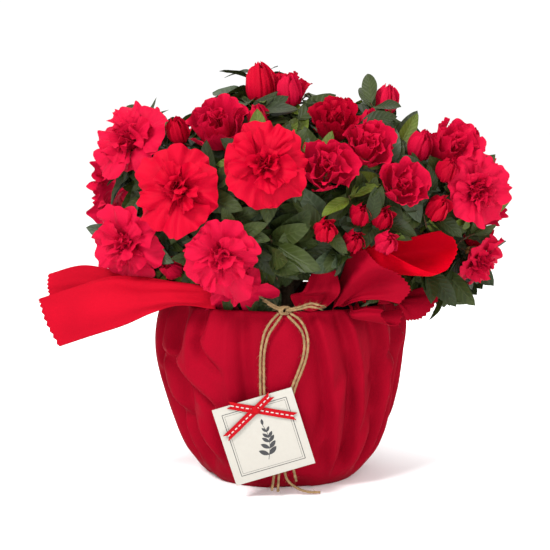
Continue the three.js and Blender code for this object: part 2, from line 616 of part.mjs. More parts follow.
// A body with one more piece fused on. A piece that would leave crumbs is nudged a little.
function fuse(body, piece) {
  for (let nudges = 0; nudges < 6; nudges++) {
    const geometry = piece.geometry.clone().translate(...NUDGE.clone().multiplyScalar(nudges).toArray());
    const fused = body.add(solidOf(geometry));
    if (isClean(fused)) return fused;
  }
  return body;
}

// Whether the corners of a geometry all lie in the mass's space.
function staysInCell(geometry, index) {
  const position = geometry.attributes.position;
  for (let i = 0; i < position.count; i++) {
    if (!inCell(vector(0, 0, 0).fromBufferAttribute(position, i), index)) return false;
  }
  return true;
}

// A rosette of leaves round the end of a twig. A leaf that would leave the mass's space, or touch a
// limb, a flower or another leaf, is tried shorter and turned, and then skipped.
function addRosette(leaves, twig, facing, count, index, obstacles, random) {
  const turn = turnTo(facing);
  const start = random() * 2 * Math.PI;
  const down = twig.from.clone().sub(twig.tip).normalize();
  const low = THREE.MathUtils.clamp((HANGING.below - twig.tip.z) / HANGING.over, 0, 1);
  for (let n = 0; n < count; n++) {
    const root = twig.tip.clone().addScaledVector(down, LEAF.spacing * (n + 1));
    const full = LEAF.length * (0.86 + 0.28 * random());
    const rise = 0.2 + 0.5 * random();
    for (let attempt = 0; attempt < LEAF_ATTEMPTS; attempt++) {
      const angle = start + n * GOLDEN_ANGLE + 0.5 * attempt;
      const direction = vector(Math.cos(angle), Math.sin(angle), rise).applyQuaternion(turn);
      direction.z -= LEAF.droop + HANGING.droop * low;
      direction.normalize();
      const geometry = leafGeometry(root, direction, facing, full * (1 - 0.04 * attempt));
      if (!staysInCell(geometry, index)) continue;
      const leaf = pieceOf(geometry);
      if (touchesAny(leaf, obstacles) || touchesAny(leaf, leaves)) continue;
      leaves.push(leaf);
      break;
    }
  }
}

const LEAVES_UNDER = { open: 5, half: 3, bud: 2, shoot: 5 };

// One mass: a stem that curves from the bough's tip to the lead bloom, twigs that leave it one after
// another for the other flower heads, and leaves and blooms on their ends.
function massSolid(index, root, obstacles) {
  const mass = MASSES[index];
  const random = seededRandom(index + 1011);
  const heads = headsOf(mass, index);
  const tips = heads.map((head) => {
    const sunk = HEAD_DEPTH[head.kind] * head.radius - 0.12 * head.radius - 1;
    return head.centre.clone().addScaledVector(head.facing, -sunk);
  });
  const ahead = root.at.clone().addScaledVector(root.direction, root.at.distanceTo(CELLS[index]) * 0.5);
  const stem = new THREE.CubicBezierCurve3(root.at, ahead, CELLS[index], tips[0]);
  const stemTwig = limbGeometry(stem, TWIG.stemRadius, TWIG.tipRadius, 3, 4);
  const twigs = [{ head: heads[0], from: stem.getPoint(0.8), tip: tips[0], ...pieceOf(stemTwig) }];
  heads.slice(1).forEach((head, n) => {
    const from = stem.getPoint(TWIG.firstFork + ((TWIG.lastFork - TWIG.firstFork) * n) / heads.length);
    const limb = limbGeometry(new THREE.LineCurve3(from, tips[n + 1]), TWIG.radius, TWIG.tipRadius, 3, 1);
    const twig = { head, from, tip: tips[n + 1], ...pieceOf(limb) };
    if (!touchesAny(twig, obstacles)) twigs.push(twig);
  });
  const flowers = twigs.filter((twig) => twig.head.kind !== 'shoot')
    .map((twig) => pieceOf(headGeometry(twig.head, random)))
    .filter((flower) => !touchesAny(flower, obstacles));
  const leaves = [];
  for (const twig of twigs) {
    const others = twigs.filter((other) => other !== twig);
    const blocked = [...obstacles, ...flowers, ...others];
    addRosette(leaves, twig, twig.head.facing, LEAVES_UNDER[twig.head.kind], index, blocked, random);
  }
  const body = [...twigs.slice(1), ...flowers, ...leaves].reduce(fuse, twigs[0].solid);
  return largestBody(body);
}

// A bough: from the side of the trunk, higher for higher masses, curving up and out into its mass.
function boughCurve(index) {
  const mass = MASSES[index];
  const share = THREE.MathUtils.clamp(0.42 + mass.elevation / 150 + 0.06 * (index % 3), 0.2, 0.97);
  const end = crownPoint(mass.azimuth, mass.elevation, BOUGH_REACH);
  const axis = trunkPoint(share);
  const away = end.clone().sub(axis).setZ(0).normalize();
  const start = axis.clone().addScaledVector(away, trunkRadius(share) * 0.6);
  const reach = start.distanceTo(end);
  const middle = start.clone()
    .addScaledVector(away, reach * BOUGH.arch.out)
    .addScaledVector(UP, reach * BOUGH.arch.up);
  return new THREE.QuadraticBezierCurve3(start, middle, end);
}

// ---------------------------------------------------------------- the plant in its pot

function material(color, roughness) {
  return new THREE.MeshStandardMaterial({ color, roughness, metalness: 0 });
}

const MATERIALS = {
  wrap: material(0xc4122e, 0.85),
  pot: material(0x3a3430, 0.6),
  soil: material(0x2d221a, 1),
  bark: material(0x6a4a33, 0.9),
  foliage: material(0xd81840, 0.7),
  twine: material(0xb8925e, 0.95),
  card: material(0xf5f0e6, 0.8),
  ribbon: material(0xe0101e, 0.6),
};

const azalea = new THREE.Group();

function add(name, solid, finish, parent = azalea) {
  const mesh = new THREE.Mesh(geometryOf(solid), finish);
  mesh.name = name;
  parent.add(mesh);
}

add('wrap_body', wrapSolid(), MATERIALS.wrap);
add('pot', potSolid(), MATERIALS.pot);
add('soil', soilSolid(), MATERIALS.soil);

const obstacles = [withBox(wrapSolid(2 * CLEARANCE)), withBox(soilSolid()), withBox(potSolid())];
for (const [name, tail] of Object.entries(TAILS)) {
  add(name, sheetSolid(tail.net, tail.steps), MATERIALS.wrap);
  obstacles.push(withBox(sheetSolid(tail.net, tail.steps, 2 * CLEARANCE)));
}

add('twine_knot', knotSolid(), MATERIALS.twine);
obstacles.push(withBox(knotSolid()));
for (const [name, route] of Object.entries(TWINE_ROUTES)) {
  add(name, solidOf(tubeGeometry(route, TWINE_DIAMETER, 8)), MATERIALS.twine);
  obstacles.push(withBox(solidOf(tubeGeometry(route, TWINE_DIAMETER + 4 * CLEARANCE, 8))));
}

const tag = new THREE.Group();
tag.position.set(...TAG.centre);
tag.rotation.set(radians(TAG.lean), 0, 0);
const tagTurn = new THREE.Group();
tagTurn.rotation.set(0, -radians(TAG.roll), 0);
tag.add(tagTurn);
azalea.add(tag);
add('tag_card', solidOf(new THREE.BoxGeometry(TAG.side, TAG.thickness, TAG.side)), MATERIALS.card, tagTurn);
add('ribbon_bow', ribbonSolid(), MATERIALS.ribbon, tagTurn);

add('trunk', trunkSolid(), MATERIALS.bark);
const limbs = [trunkSolid(CLEARANCE)];
const stemRoots = [];
MASSES.forEach((mass, index) => {
  const curve = boughCurve(index);
  let bough = solidOf(limbGeometry(curve, BOUGH.baseRadius, BOUGH.tipRadius, BOUGH.sides, BOUGH.steps));
  for (const limb of limbs) bough = bough.subtract(limb);
  add(`bough_${mass.name}`, largestBody(bough), MATERIALS.bark);
  const fat = CLEARANCE + 0.1;
  const [fatBase, fatTip] = [BOUGH.baseRadius + fat, BOUGH.tipRadius + fat];
  limbs.push(solidOf(limbGeometry(curve, fatBase, fatTip, BOUGH.sides, BOUGH.steps)));
  const direction = curve.getTangent(1);
  stemRoots.push({ at: curve.getPoint(1).addScaledVector(direction, CLEARANCE), direction });
});

obstacles.push(...limbs.map(withBox));
MASSES.forEach((mass, index) => {
  add(`mass_${mass.name}`, massSolid(index, stemRoots[index], obstacles), MATERIALS.foliage);
});

export default azalea;
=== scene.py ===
# Looks of a double-flowered azalea in a pot with a gathered fabric wrap, jute twine and a gift card.
# Shapes are worked out in millimetres in the frame's axes (+Z up, front -Y) and built in metres.

import math

import bpy
import numpy as np
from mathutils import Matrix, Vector, noise
from mathutils.bvhtree import BVHTree


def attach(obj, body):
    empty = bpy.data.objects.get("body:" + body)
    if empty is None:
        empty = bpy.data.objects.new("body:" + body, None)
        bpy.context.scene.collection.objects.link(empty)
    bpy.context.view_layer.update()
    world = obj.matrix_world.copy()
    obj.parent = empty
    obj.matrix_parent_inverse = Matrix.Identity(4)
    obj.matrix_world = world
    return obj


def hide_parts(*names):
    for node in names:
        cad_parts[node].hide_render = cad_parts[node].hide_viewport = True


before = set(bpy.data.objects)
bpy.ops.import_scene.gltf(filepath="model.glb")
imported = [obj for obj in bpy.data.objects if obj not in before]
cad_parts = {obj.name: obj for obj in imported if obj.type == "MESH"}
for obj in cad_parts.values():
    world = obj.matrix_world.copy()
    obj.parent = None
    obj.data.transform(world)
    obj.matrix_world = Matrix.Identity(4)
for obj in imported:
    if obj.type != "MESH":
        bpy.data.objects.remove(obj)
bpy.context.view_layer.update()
MM = 0.001

# ---------------------------------------------------------------- camera

CAMERA_AIM = Vector((-0.0056, 0.0, 0.1595))
CAMERA_DISTANCE = 1.25
CAMERA_ELEVATION = math.radians(7)
CAMERA_LENS = 102
CAMERA_SENSOR = 36


def add_object(name, data):
    """Makes an object of some data and puts it in the scene."""
    made = bpy.data.objects.new(name, data)
    bpy.context.collection.objects.link(made)
    return made


camera_data = bpy.data.cameras.new("camera")
camera_data.sensor_width = CAMERA_SENSOR
camera_data.lens = CAMERA_LENS
camera = add_object("camera", camera_data)
camera_back = Vector((0, -math.cos(CAMERA_ELEVATION), math.sin(CAMERA_ELEVATION)))
camera.location = CAMERA_AIM + camera_back * CAMERA_DISTANCE
camera.rotation_euler = (-camera_back).to_track_quat("-Z", "Y").to_euler()
bpy.context.scene.camera = camera
bpy.context.scene.view_settings.view_transform = "Standard"

# ---------------------------------------------------------------- values repeated from the source

CLEARANCE = 0.3
FABRIC = 1.8
WRAP_HEIGHT = 141.5
WRAP_PROFILE = [(60, 0), (68, 8), (82, 36), (92, 68), (99, 100), (98, 126), (93, WRAP_HEIGHT)]
WRAP_FOLDS = {"broad": 2.6, "broad_count": 7, "pleat": 1.7, "pleat_count": 15}
SMOOTH_PANEL = {"azimuth": -0.08, "width": 0.34}
WRAP_SWAY = {"out": 4.5, "height": 98, "spread": 27}
POT_TOP_RADIUS = 84
POT_BASE_RADIUS = 48
POT_HEIGHT = 128
POT_WALL = 2.2
SOIL_TOP = FABRIC + CLEARANCE + POT_HEIGHT - 8
TRUNK = {"height": 62, "lean": (7, -3), "foot": 15, "base": 8.5, "top": 6}
BOUGH = {"base": 2.9, "tip": 1.9, "out": 0.38, "up": 0.2}
TWIG = {"stem": 2.1, "radius": 1.2, "tip": 1.0, "first_fork": 0.12, "last_fork": 0.75}
LEAF = {"length": 46, "spacing": 2.8, "droop": 0.22}
HANGING = {"below": 205, "over": 30, "droop": 0.9}
CROWN_CENTRE = np.array([12.0, 0.0, 222.0])
CROWN_RADII = np.array([176.0, 142.0, 104.0])
HUB_REACH = 0.66
BOUGH_REACH = 0.4
FRONT_PULL = 0.75
HEAD_KINDS = ("open", "half", "bud", "shoot")
HEAD_SPACING = {"open": 0.56, "half": 0.8, "bud": 0.84, "shoot": 0.9}
HEAD_LIFT = {"open": 0, "half": 0.4, "bud": 1.1, "shoot": 0}
HEAD_REACH = {"open": 0.95, "half": 0.95, "bud": 1.02, "shoot": 0.92}
HEAD_RADII = {"open": 28, "half": 18, "bud": 9.5, "shoot": 8}
HEAD_DEPTH = {"open": 0.7, "half": 1.5, "bud": 2.1, "shoot": 1}
SPIRAL = {"start": 7, "growth": 3.6, "open_growth": 2.88, "rise": 1.15, "places": 90}
TWINE_DIAMETER = 2.0
KNOT_CENTRE = (1.5, -95, 144.5)
TAG = {"side": 62, "thickness": 0.8, "centre": (-14, -97.6, 49.5), "roll": 17, "lean": 6}
RIBBON = {"width": 5.7, "falling": ((-18.5, 32), (28.5, 8.5)), "rising": ((-27.5, 7.5), (15.5, 30.5))}

# Each mass: name, azimuth, elevation, reach, lead flower, its radius, then the count of each other head.
MASSES = [
    ("left_front", -32, 8, 0.95, "open", 34, (0, 0, 2, 2)),
    ("centre_front", -9, 19, 0.95, "open", 33, (0, 1, 1, 2)),
    ("low_front", -21, -20, 0.96, "open", 30, (1, 0, 0, 3)),
    ("left_low", -53, -17, 0.96, "open", 31, (0, 0, 2, 3)),
    ("left_upper", -63, 30, 0.94, "open", 34, (0, 1, 2, 2)),
    ("top_left", -35, 46, 0.89, "half", 24, (0, 1, 2, 2)),
    ("top", -45, 76, 0.99, "bud", 13, (0, 1, 1, 2)),
    ("top_right", 24, 33, 0.88, "half", 20, (0, 1, 4, 1)),
    ("front_upper", 8, 21, 0.9, "half", 22, (0, 1, 3, 1)),
    ("front_right", 30, 11.5, 0.9, "half", 18, (0, 1, 4, 2)),
    ("right_upper", 58, 30, 0.93, "half", 22, (0, 1, 3, 1)),
    ("right", 55, 6.5, 0.93, "open", 29, (0, 1, 2, 2)),
    ("right_low", 70, -28, 0.96, "open", 24, (0, 1, 1, 2)),
    ("low_right", 62, -36, 0.95, "shoot", 10, (0, 0, 0, 3)),
    ("back_left", -112, 4, 0.93, "open", 33, (0, 1, 1, 1)),
    ("back", 178, 12, 0.94, "open", 34, (0, 0, 1, 2)),
    ("back_right", 108, 2, 0.93, "open", 32, (0, 1, 1, 1)),
    ("back_top_left", -152, 30, 0.82, "open", 31, (0, 1, 1, 1)),
    ("back_top_right", 150, 28, 0.8, "open", 30, (0, 1, 1, 1)),
    ("back_low_left", -152, -20, 0.95, "open", 29, (0, 0, 1, 2)),
    ("back_low_right", 148, -22, 0.95, "open", 30, (0, 0, 1, 2)),
]

# Balls that flower heads and leaves keep out of, by the tails, the knot and two gaps in the crown's outline:
# centre and radius.
HEAD_GUARDS = [
    ((-70, -84, 155), 16), ((-112, -78, 153), 22), ((-152, -75, 147), 24), ((32, -94, 164), 16),
    ((62, -94, 170), 24), ((88, -88, 180), 24), ((116, -82, 187), 22), ((82, -98, 152), 22),
    ((110, -57, 146), 20), ((-5, -93, 149), 14), ((-72, -25, 308), 27), ((110, -25, 288), 27),
]

TWINE_ROUTES = {
    "left_outer": [
        (-2.9, -96.2, 142.6), (-8.8, -98.6, 136.5), (-13, -99.9, 129.5), (-15.5, -100.4, 119),
        (-16.5, -100.6, 108), (-16.5, -100.1, 98), (-16.5, -99, 88), (-16, -98, 78), (-14, -96.4, 66),
        (-10, -94, 52), (-7, -91, 38), (-6, -88, 24), (-7, -86, 12), (-8, -85, 5),
    ],
    "left_inner": [
        (-0.8, -97.3, 141), (-5.4, -99.6, 134.8), (-10, -100.8, 127.7), (-12.9, -101.1, 118),
        (-13.9, -101, 108), (-13.9, -100.6, 98), (-13.8, -99.6, 88), (-13.2, -98.5, 78),
        (-10.8, -96.4, 66), (-6.4, -94, 52), (-3.4, -91, 38), (-2.4, -88, 24), (-3, -85.5, 12),
        (-3.4, -84.6, 4),
    ],
    "right_inner": [
        (3.7, -97.3, 141), (10, -99.8, 135.2), (14.6, -100.9, 128.8), (16.2, -101, 119.4),
        (14.8, -101, 109), (11.4, -100.8, 99), (7.6, -99.8, 89), (4.3, -98.5, 78), (1.6, -96.4, 66),
        (0.4, -94, 52), (0.6, -91, 38), (1.4, -87.5, 24), (3.6, -83, 13), (10, -81, 6.5),
        (19, -80, 2.6), (29, -78.5, 1.8),
    ],
    "right_outer": [
        (5.9, -96.2, 142.6), (12.8, -98.8, 138), (17.4, -100.1, 130), (18.9, -100.6, 120),
        (17.5, -100.6, 109.5), (14.1, -100.3, 99.5), (10.3, -99.3, 89.5), (7.2, -98, 79),
        (5.4, -95.8, 67), (4.6, -93, 53), (5.4, -90, 39), (7.4, -87.2, 27), (9.4, -85.2, 17),
        (10.6, -84.4, 12),
    ],
}

# ---------------------------------------------------------------- small helpers

UP = np.array([0.0, 0.0, 1.0])
GOLDEN_ANGLE = math.pi * (3 - math.sqrt(5))


class SeededRandom:
    """The source's generator: the same seed gives the same plant there and here."""

    def __init__(self, seed):
        self.state = (seed * 2654435761) % 2**32

    def __call__(self):
        self.state = (self.state * 1664525 + 1013904223) % 2**32
        return self.state / 4294967296

    def between(self, low, high):
        return low + (high - low) * self()


def unit(vector):
    return vector / np.linalg.norm(vector)


def vec(*values):
    return np.array(values, dtype=float)


def any_way(random):
    """A short vector in any direction."""
    return vec(random() - 0.5, random() - 0.5, random() - 0.5)


def round_turn(count):
    """Angles evenly round a full turn."""
    return np.linspace(0, 2 * math.pi, count, endpoint=False)


def blade_grid(steps):
    """Grids of the share along a blade, 0 to 1, and the share across it, -1 to 1."""
    return np.meshgrid(np.linspace(0, 1, steps[0] + 1), np.linspace(-1, 1, steps[1] + 1), indexing="ij")


def grid_quads(rows, cols, ring=False):
    """The corners' numbers of each face of a grid of points, closed round on itself for a ring."""
    index = np.arange(rows * cols).reshape(rows, cols)
    if ring:
        index = np.hstack([index, index[:, :1]])
    corners = (index[:-1, :-1], index[:-1, 1:], index[1:, 1:], index[1:, :-1])
    return np.stack(corners, -1).reshape(-1, 4)


def turn_to(direction):
    """The smallest rotation that takes +Z to a direction, as a matrix."""
    axis = np.cross(UP, direction)
    cosine = float(direction[2])
    if cosine < -0.999999:
        return np.diag([1.0, -1.0, -1.0])
    cross = np.array([[0, -axis[2], axis[1]], [axis[2], 0, -axis[0]], [-axis[1], axis[0], 0]])
    return np.eye(3) + cross + cross @ cross / (1 + cosine)


def about_z(angle):
    c, s = math.cos(angle), math.sin(angle)
    return np.array([[c, -s, 0], [s, c, 0], [0, 0, 1.0]])


def smooth(values):
    """A soft step from 0 to 1."""
    t = np.clip(values, 0, 1)
    return t * t * (3 - 2 * t)


def spline(points, shares):
    """Centripetal Catmull-Rom through rows of points, at shares 0 to 1 of the run of rows."""
    points = np.asarray(points, dtype=float)
    padded = np.vstack([2 * points[:1] - points[1:2], points, 2 * points[-1:] - points[-2:-1]])
    place = np.clip(np.asarray(shares, dtype=float), 0, 1) * (len(points) - 1)
    start = np.minimum(place.astype(int), len(points) - 2)
    w = (place - start)[:, None]
    p0, p1, p2, p3 = (padded[start + k] for k in range(4))
    d0, d1, d2 = (np.sqrt(np.linalg.norm(b - a, axis=1))[:, None] for a, b in ((p0, p1), (p1, p2), (p2, p3)))
    t1 = ((p1 - p0) / d0 - (p2 - p0) / (d0 + d1) + (p2 - p1) / d1) * d1
    t2 = ((p2 - p1) / d1 - (p3 - p1) / (d1 + d2) + (p3 - p2) / d2) * d1
    return p1 + t1 * w + (3 * (p2 - p1) - 2 * t1 - t2) * w**2 + (2 * (p1 - p2) + t1 + t2) * w**3


def run_length(points):
    return float(np.linalg.norm(np.diff(points, axis=0), axis=1).sum())


def bezier(points, shares):
    """A quadratic or cubic Bezier curve at shares 0 to 1."""
    t = np.asarray(shares, dtype=float)[:, None]
    rows = [np.asarray(p, dtype=float)[None, :] for p in points]
    while len(rows) > 1:
        rows = [a + (b - a) * t for a, b in zip(rows, rows[1:])]
    return rows[0] * np.ones_like(t)


class Bunch:
    """Grids of points gathered into one mesh."""

    def __init__(self):
        self.points, self.quads, self.uvs, self.count = [], [], [], 0

    def add(self, grid, ring=False):
        rows, cols = grid.shape[:2]
        u, v = np.meshgrid(np.linspace(0, 1, rows), np.linspace(0, 1, cols), indexing="ij")
        self.points.append(grid.reshape(-1, 3))
        self.quads.append(grid_quads(rows, cols, ring) + self.count)
        self.uvs.append(np.stack([u, v], -1).reshape(-1, 2))
        self.count += rows * cols

    def build(self, name, material, slot, replaces=()):
        points = np.concatenate(self.points) * MM
        quads = np.concatenate(self.quads)
        mesh = bpy.data.meshes.new(name)
        mesh.from_pydata(points.tolist(), [], quads.tolist())
        uv = mesh.uv_layers.new(name="shape")
        uv.data.foreach_set("uv", np.concatenate(self.uvs)[quads.ravel()].ravel())
        mesh.polygons.foreach_set("use_smooth", np.ones(len(quads), dtype=bool))
        mesh.materials.append(material)
        mesh.update()
        piece = add_object(name, mesh)
        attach(piece, "root")
        if replaces:
            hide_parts(*replaces)
        return piece


def frames_along(path):
    """Two directions across a path at each of its points, that turn as little as they can."""
    tangents = np.gradient(path, axis=0)
    tangents /= np.linalg.norm(tangents, axis=1)[:, None]
    first = np.cross(tangents[0], UP if abs(tangents[0][2]) < 0.9 else vec(1, 0, 0))
    across = [unit(first)]
    for tangent in tangents[1:]:
        across.append(unit(across[-1] - tangent * np.dot(across[-1], tangent)))
    across = np.array(across)
    return across, np.cross(tangents, across)


def tube(path, radii, sides, shape=None):
    """Rings round a path. shape(angle, distance) scales the radius."""
    across, other = frames_along(path)
    distance = np.concatenate([[0], np.cumsum(np.linalg.norm(np.diff(path, axis=0), axis=1))])
    angle = round_turn(sides)[None, :]
    radius = np.broadcast_to(np.asarray(radii, dtype=float).reshape(-1, 1), (len(path), sides)).copy()
    if shape:
        radius = radius * shape(angle, distance[:, None])
    ring = across[:, None, :] * np.cos(angle)[..., None] + other[:, None, :] * np.sin(angle)[..., None]
    return path[:, None, :] + ring * radius[..., None]


def closed_tube(path, radii, sides, shape=None):
    """A tube whose two ends are drawn in to points."""
    grid = tube(path, radii, sides, shape)
    first = np.broadcast_to(path[0] + (grid[0] - path[0]) * 0.02, grid[0].shape)
    last = np.broadcast_to(path[-1] + (grid[-1] - path[-1]) * 0.02, grid[-1].shape)
    return np.concatenate([first[None], grid, last[None]])


# ---------------------------------------------------------------- materials


class Paint:
    """A short way to write a material's nodes."""

    def __init__(self, name):
        self.material = bpy.data.materials.new(name)
        self.material.use_nodes = True
        self.tree = self.material.node_tree
        self.shader = self.tree.nodes["Principled BSDF"]

    def node(self, kind, inputs=None, **settings):
        node = self.tree.nodes.new(kind)
        for key, value in settings.items():
            setattr(node, key, value)
        for key, value in (inputs or {}).items():
            self.put(node.inputs[key], value)
        return node

    def put(self, socket, value):
        if isinstance(value, bpy.types.NodeSocket):
            self.tree.links.new(value, socket)
        else:
            socket.default_value = value

    def set(self, **inputs):
        for key, value in inputs.items():
            self.put(self.shader.inputs[key.replace("_", " ")], value)
        return self

    def object_place(self):
        return self.node("ShaderNodeTexCoord").outputs["Object"]

    def shape_place(self):
        return self.node("ShaderNodeUVMap", uv_map="shape").outputs["UV"]

    def noise(self, place, scale, detail=3.0, rough=0.5, stretch=None):
        if stretch:
            place = self.node("ShaderNodeMapping", {"Vector": place, "Scale": stretch}).outputs[0]
        inputs = {"Vector": place, "Scale": scale, "Detail": detail, "Roughness": rough}
        return self.node("ShaderNodeTexNoise", inputs).outputs["Fac"]

    def ramp(self, fac, stops):
        node = self.node("ShaderNodeValToRGB", {"Fac": fac})
        elements = node.color_ramp.elements
        while len(elements) < len(stops):
            elements.new(0.5)
        for element, (place, colour) in zip(elements, stops):
            element.position = place
            element.color = (*colour, 1)
        return node.outputs["Color"]

    def math(self, operation, a, b=0.0):
        return self.node("ShaderNodeMath", {0: a, 1: b}, operation=operation).outputs[0]

    def bump(self, height, strength, distance, normal=None):
        inputs = {"Height": height, "Strength": strength, "Distance": distance}
        if normal:
            inputs["Normal"] = normal
        return self.node("ShaderNodeBump", inputs).outputs["Normal"]

    def translucent(self, colour, share):
        """Lets some of the light through a thin sheet."""
        glow = self.node("ShaderNodeBsdfTranslucent", {"Color": (*colour, 1)})
        mix = self.node("ShaderNodeMixShader", {"Fac": share})
        self.tree.links.new(self.shader.outputs[0], mix.inputs[1])
        self.tree.links.new(glow.outputs[0], mix.inputs[2])
        self.tree.links.new(mix.outputs[0], self.tree.nodes["Material Output"].inputs["Surface"])
        return self


def shade(colour, factor):
    return tuple(min(1.0, c * factor) for c in colour)


def petal_material(name, colour, glow):
    paint = Paint(name)
    place = paint.object_place()
    veins = paint.noise(paint.shape_place(), 6, 2, 0.6, stretch=(0.6, 9, 1))
    cloudy = paint.noise(place, 60, 2)
    fine = paint.noise(place, 900, 2)
    colours = paint.ramp(cloudy, [(0.3, shade(colour, 0.86)), (0.7, colour)])
    crease = paint.bump(veins, 0.2, 0.001)
    paint.set(Base_Color=colours, Roughness=0.6, Specular_IOR_Level=0.06)
    paint.set(Sheen_Weight=0.06, Sheen_Roughness=0.4, Sheen_Tint=(1, 0.1, 0.2, 1))
    paint.set(Normal=paint.bump(fine, 0.12, 0.0004, crease))
    return paint.translucent(glow, 0.22).material


def leaf_material(name, colour, vein_colour, roughness):
    paint = Paint(name)
    shape = paint.shape_place()
    place = paint.object_place()
    parts = paint.node("ShaderNodeSeparateXYZ", {"Vector": shape})
    across = paint.math("ABSOLUTE", paint.math("SUBTRACT", parts.outputs["Y"], 0.5))
    slanted = paint.math("SUBTRACT", parts.outputs["X"], paint.math("MULTIPLY", across, 0.42))
    wave = paint.math("ABSOLUTE", paint.math("SINE", paint.math("MULTIPLY", slanted, 25.0)))
    laterals = paint.math("POWER", wave, 0.35)
    midrib = paint.math("MINIMUM", paint.math("MULTIPLY", across, 22.0), 1.0)
    net = paint.math("MULTIPLY", laterals, midrib)
    blotch = paint.noise(place, 90, 3)
    grain = paint.noise(place, 1400, 3)
    body = paint.ramp(blotch, [(0.3, shade(colour, 0.68)), (0.7, shade(colour, 1.25))])
    inputs = {"Factor": paint.math("SUBTRACT", 1.0, net), 6: body, 7: (*vein_colour, 1)}
    veined = paint.node("ShaderNodeMix", inputs, data_type="RGBA").outputs[2]
    crease = paint.bump(net, 0.4, 0.0009)
    paint.set(Base_Color=veined, Roughness=roughness, Specular_IOR_Level=0.17)
    paint.set(Coat_Weight=0.02, Coat_Roughness=0.3)
    paint.set(Normal=paint.bump(grain, 0.3, 0.0003, crease))
    return paint.translucent(shade(colour, 1.8), 0.08).material


def fabric_material(name, colour, glow_share):
    paint = Paint(name)
    place = paint.object_place()
    cloudy = paint.noise(place, 22, 4)
    fibres = paint.noise(place, 1500, 6, 0.7, stretch=(1, 1, 0.45))
    dots = paint.node("ShaderNodeTexVoronoi", {"Vector": place, "Scale": 700.0})
    colours = paint.ramp(cloudy, [(0.25, shade(colour, 0.82)), (0.75, shade(colour, 1.08))])
    coarse = paint.bump(dots.outputs["Distance"], 0.16, 0.0004)
    paint.set(Base_Color=colours, Roughness=0.75, Specular_IOR_Level=0.03)
    paint.set(Sheen_Weight=0.015, Sheen_Roughness=0.35, Sheen_Tint=(1, 0.1, 0.15, 1))
    paint.set(Normal=paint.bump(fibres, 0.28, 0.0005, coarse))
    return paint.translucent(shade(colour, 1.3), glow_share).material


def bark_material(name, dark, light):
    paint = Paint(name)
    place = paint.object_place()
    cloudy = paint.noise(place, 160, 6, 0.65, stretch=(1, 1, 0.3))
    grain = paint.noise(place, 800, 5, 0.7, stretch=(1, 1, 0.25))
    colours = paint.ramp(cloudy, [(0.3, dark), (0.68, light)])
    paint.set(Base_Color=colours, Roughness=0.88, Specular_IOR_Level=0.2)
    return paint.set(Normal=paint.bump(grain, 0.8, 0.0009)).material


def plain_material(name, colour, roughness, grain_scale, grain, spread=0.12, specular=0.35):
    paint = Paint(name)
    place = paint.object_place()
    cloudy = paint.noise(place, grain_scale * 0.15, 4)
    fine = paint.noise(place, grain_scale, 5, 0.65)
    stops = [(0.3, shade(colour, 1 - spread)), (0.7, shade(colour, 1 + spread))]
    paint.set(Base_Color=paint.ramp(cloudy, stops), Roughness=roughness, Specular_IOR_Level=specular)
    return paint.set(Normal=paint.bump(fine, grain, 0.0006)).material


PETALS = {
    "crimson": petal_material("petal_crimson", (0.44, 0.0004, 0.017), (0.56, 0.001, 0.026)),
    "rose": petal_material("petal_rose", (0.48, 0.003, 0.032), (0.62, 0.006, 0.045)),
    "deep": petal_material("petal_deep", (0.37, 0.0004, 0.016), (0.48, 0.001, 0.024)),
}
LEAVES = {
    "dark": leaf_material("leaf_dark", (0.013, 0.020, 0.004), (0.022, 0.032, 0.009), 0.5),
    "mid": leaf_material("leaf_mid", (0.023, 0.033, 0.006), (0.038, 0.052, 0.013), 0.5),
    # The grey tone is partly the paler grey-green that some leaves have and partly painted sheen: a grey-teal
    # base colour that stands in for the white light glossy leaves reflect.
    "grey_sheen": leaf_material("leaf_grey_sheen", (0.038, 0.055, 0.028), (0.062, 0.082, 0.048), 0.44),
    "young": leaf_material("leaf_young", (0.070, 0.100, 0.010), (0.105, 0.135, 0.026), 0.5),
}
BARK = bark_material("bark", (0.04, 0.024, 0.014), (0.13, 0.08, 0.048))
TWIG_BARK = bark_material("twig_bark", (0.05, 0.026, 0.014), (0.14, 0.08, 0.042))
WRAP = fabric_material("wrap_fabric", (0.205, 0.0005, 0.0085), 0.02)
# The tails' cloth and the scoop's cloth below are lighter copies of the wrap's cloth. This is painted light:
# light coming through the left tails, and a painted brightening of the right upper tail's shaded scoop.
LIT_TAIL = fabric_material("tail_fabric_lit", (0.36, 0.002, 0.012), 0.16)
LIT_SCOOP = fabric_material("scoop_fabric_lit", (0.62, 0.0, 0.014), 0.5)
TWINE = plain_material("jute", (0.205, 0.13, 0.062), 0.92, 1800, 0.7, 0.3, 0.1)
CARD = plain_material("card", (0.345, 0.33, 0.295), 0.8, 2200, 0.1, 0.015, 0.1)
PRINT = plain_material("card_ink", (0.03, 0.03, 0.032), 0.8, 2600, 0.1, 0.25)
RIBBON_CLOTH = plain_material("ribbon_cloth", (0.28, 0.0005, 0.004), 0.6, 2600, 0.35, 0.1, 0.08)
STITCH = plain_material("stitch_thread", (0.38, 0.37, 0.36), 0.7, 3000, 0.3, 0.05)
POT = plain_material("pot_plastic", (0.018, 0.015, 0.013), 0.5, 500, 0.15)
COMPOST = plain_material("compost", (0.022, 0.014, 0.009), 0.98, 420, 0.9, 0.5)
SCALE = plain_material("bud_scale", (0.16, 0.08, 0.02), 0.6, 900, 0.3, 0.35)
FLOOR = plain_material("floor", (0.96, 0.96, 0.96), 0.9, 40, 0.02, 0.005)

# ---------------------------------------------------------------- twine


PLY_PITCH = 9.0
HAIR_FLOOR = 0.2
FRAYED_ENDS = 22


def two_ply(angle, distance):
    """Two plies twisted round each other, as a scale of the radius."""
    return 0.80 + 0.22 * np.abs(np.cos(angle - distance * 2 * math.pi / PLY_PITCH))


def strand_path(route, step=0.7):
    """Close points along a strand's route, and its length."""
    rough = spline(route, np.linspace(0, 1, 300))
    length = run_length(rough)
    return spline(route, np.linspace(0, 1, max(8, int(length / step)))), length


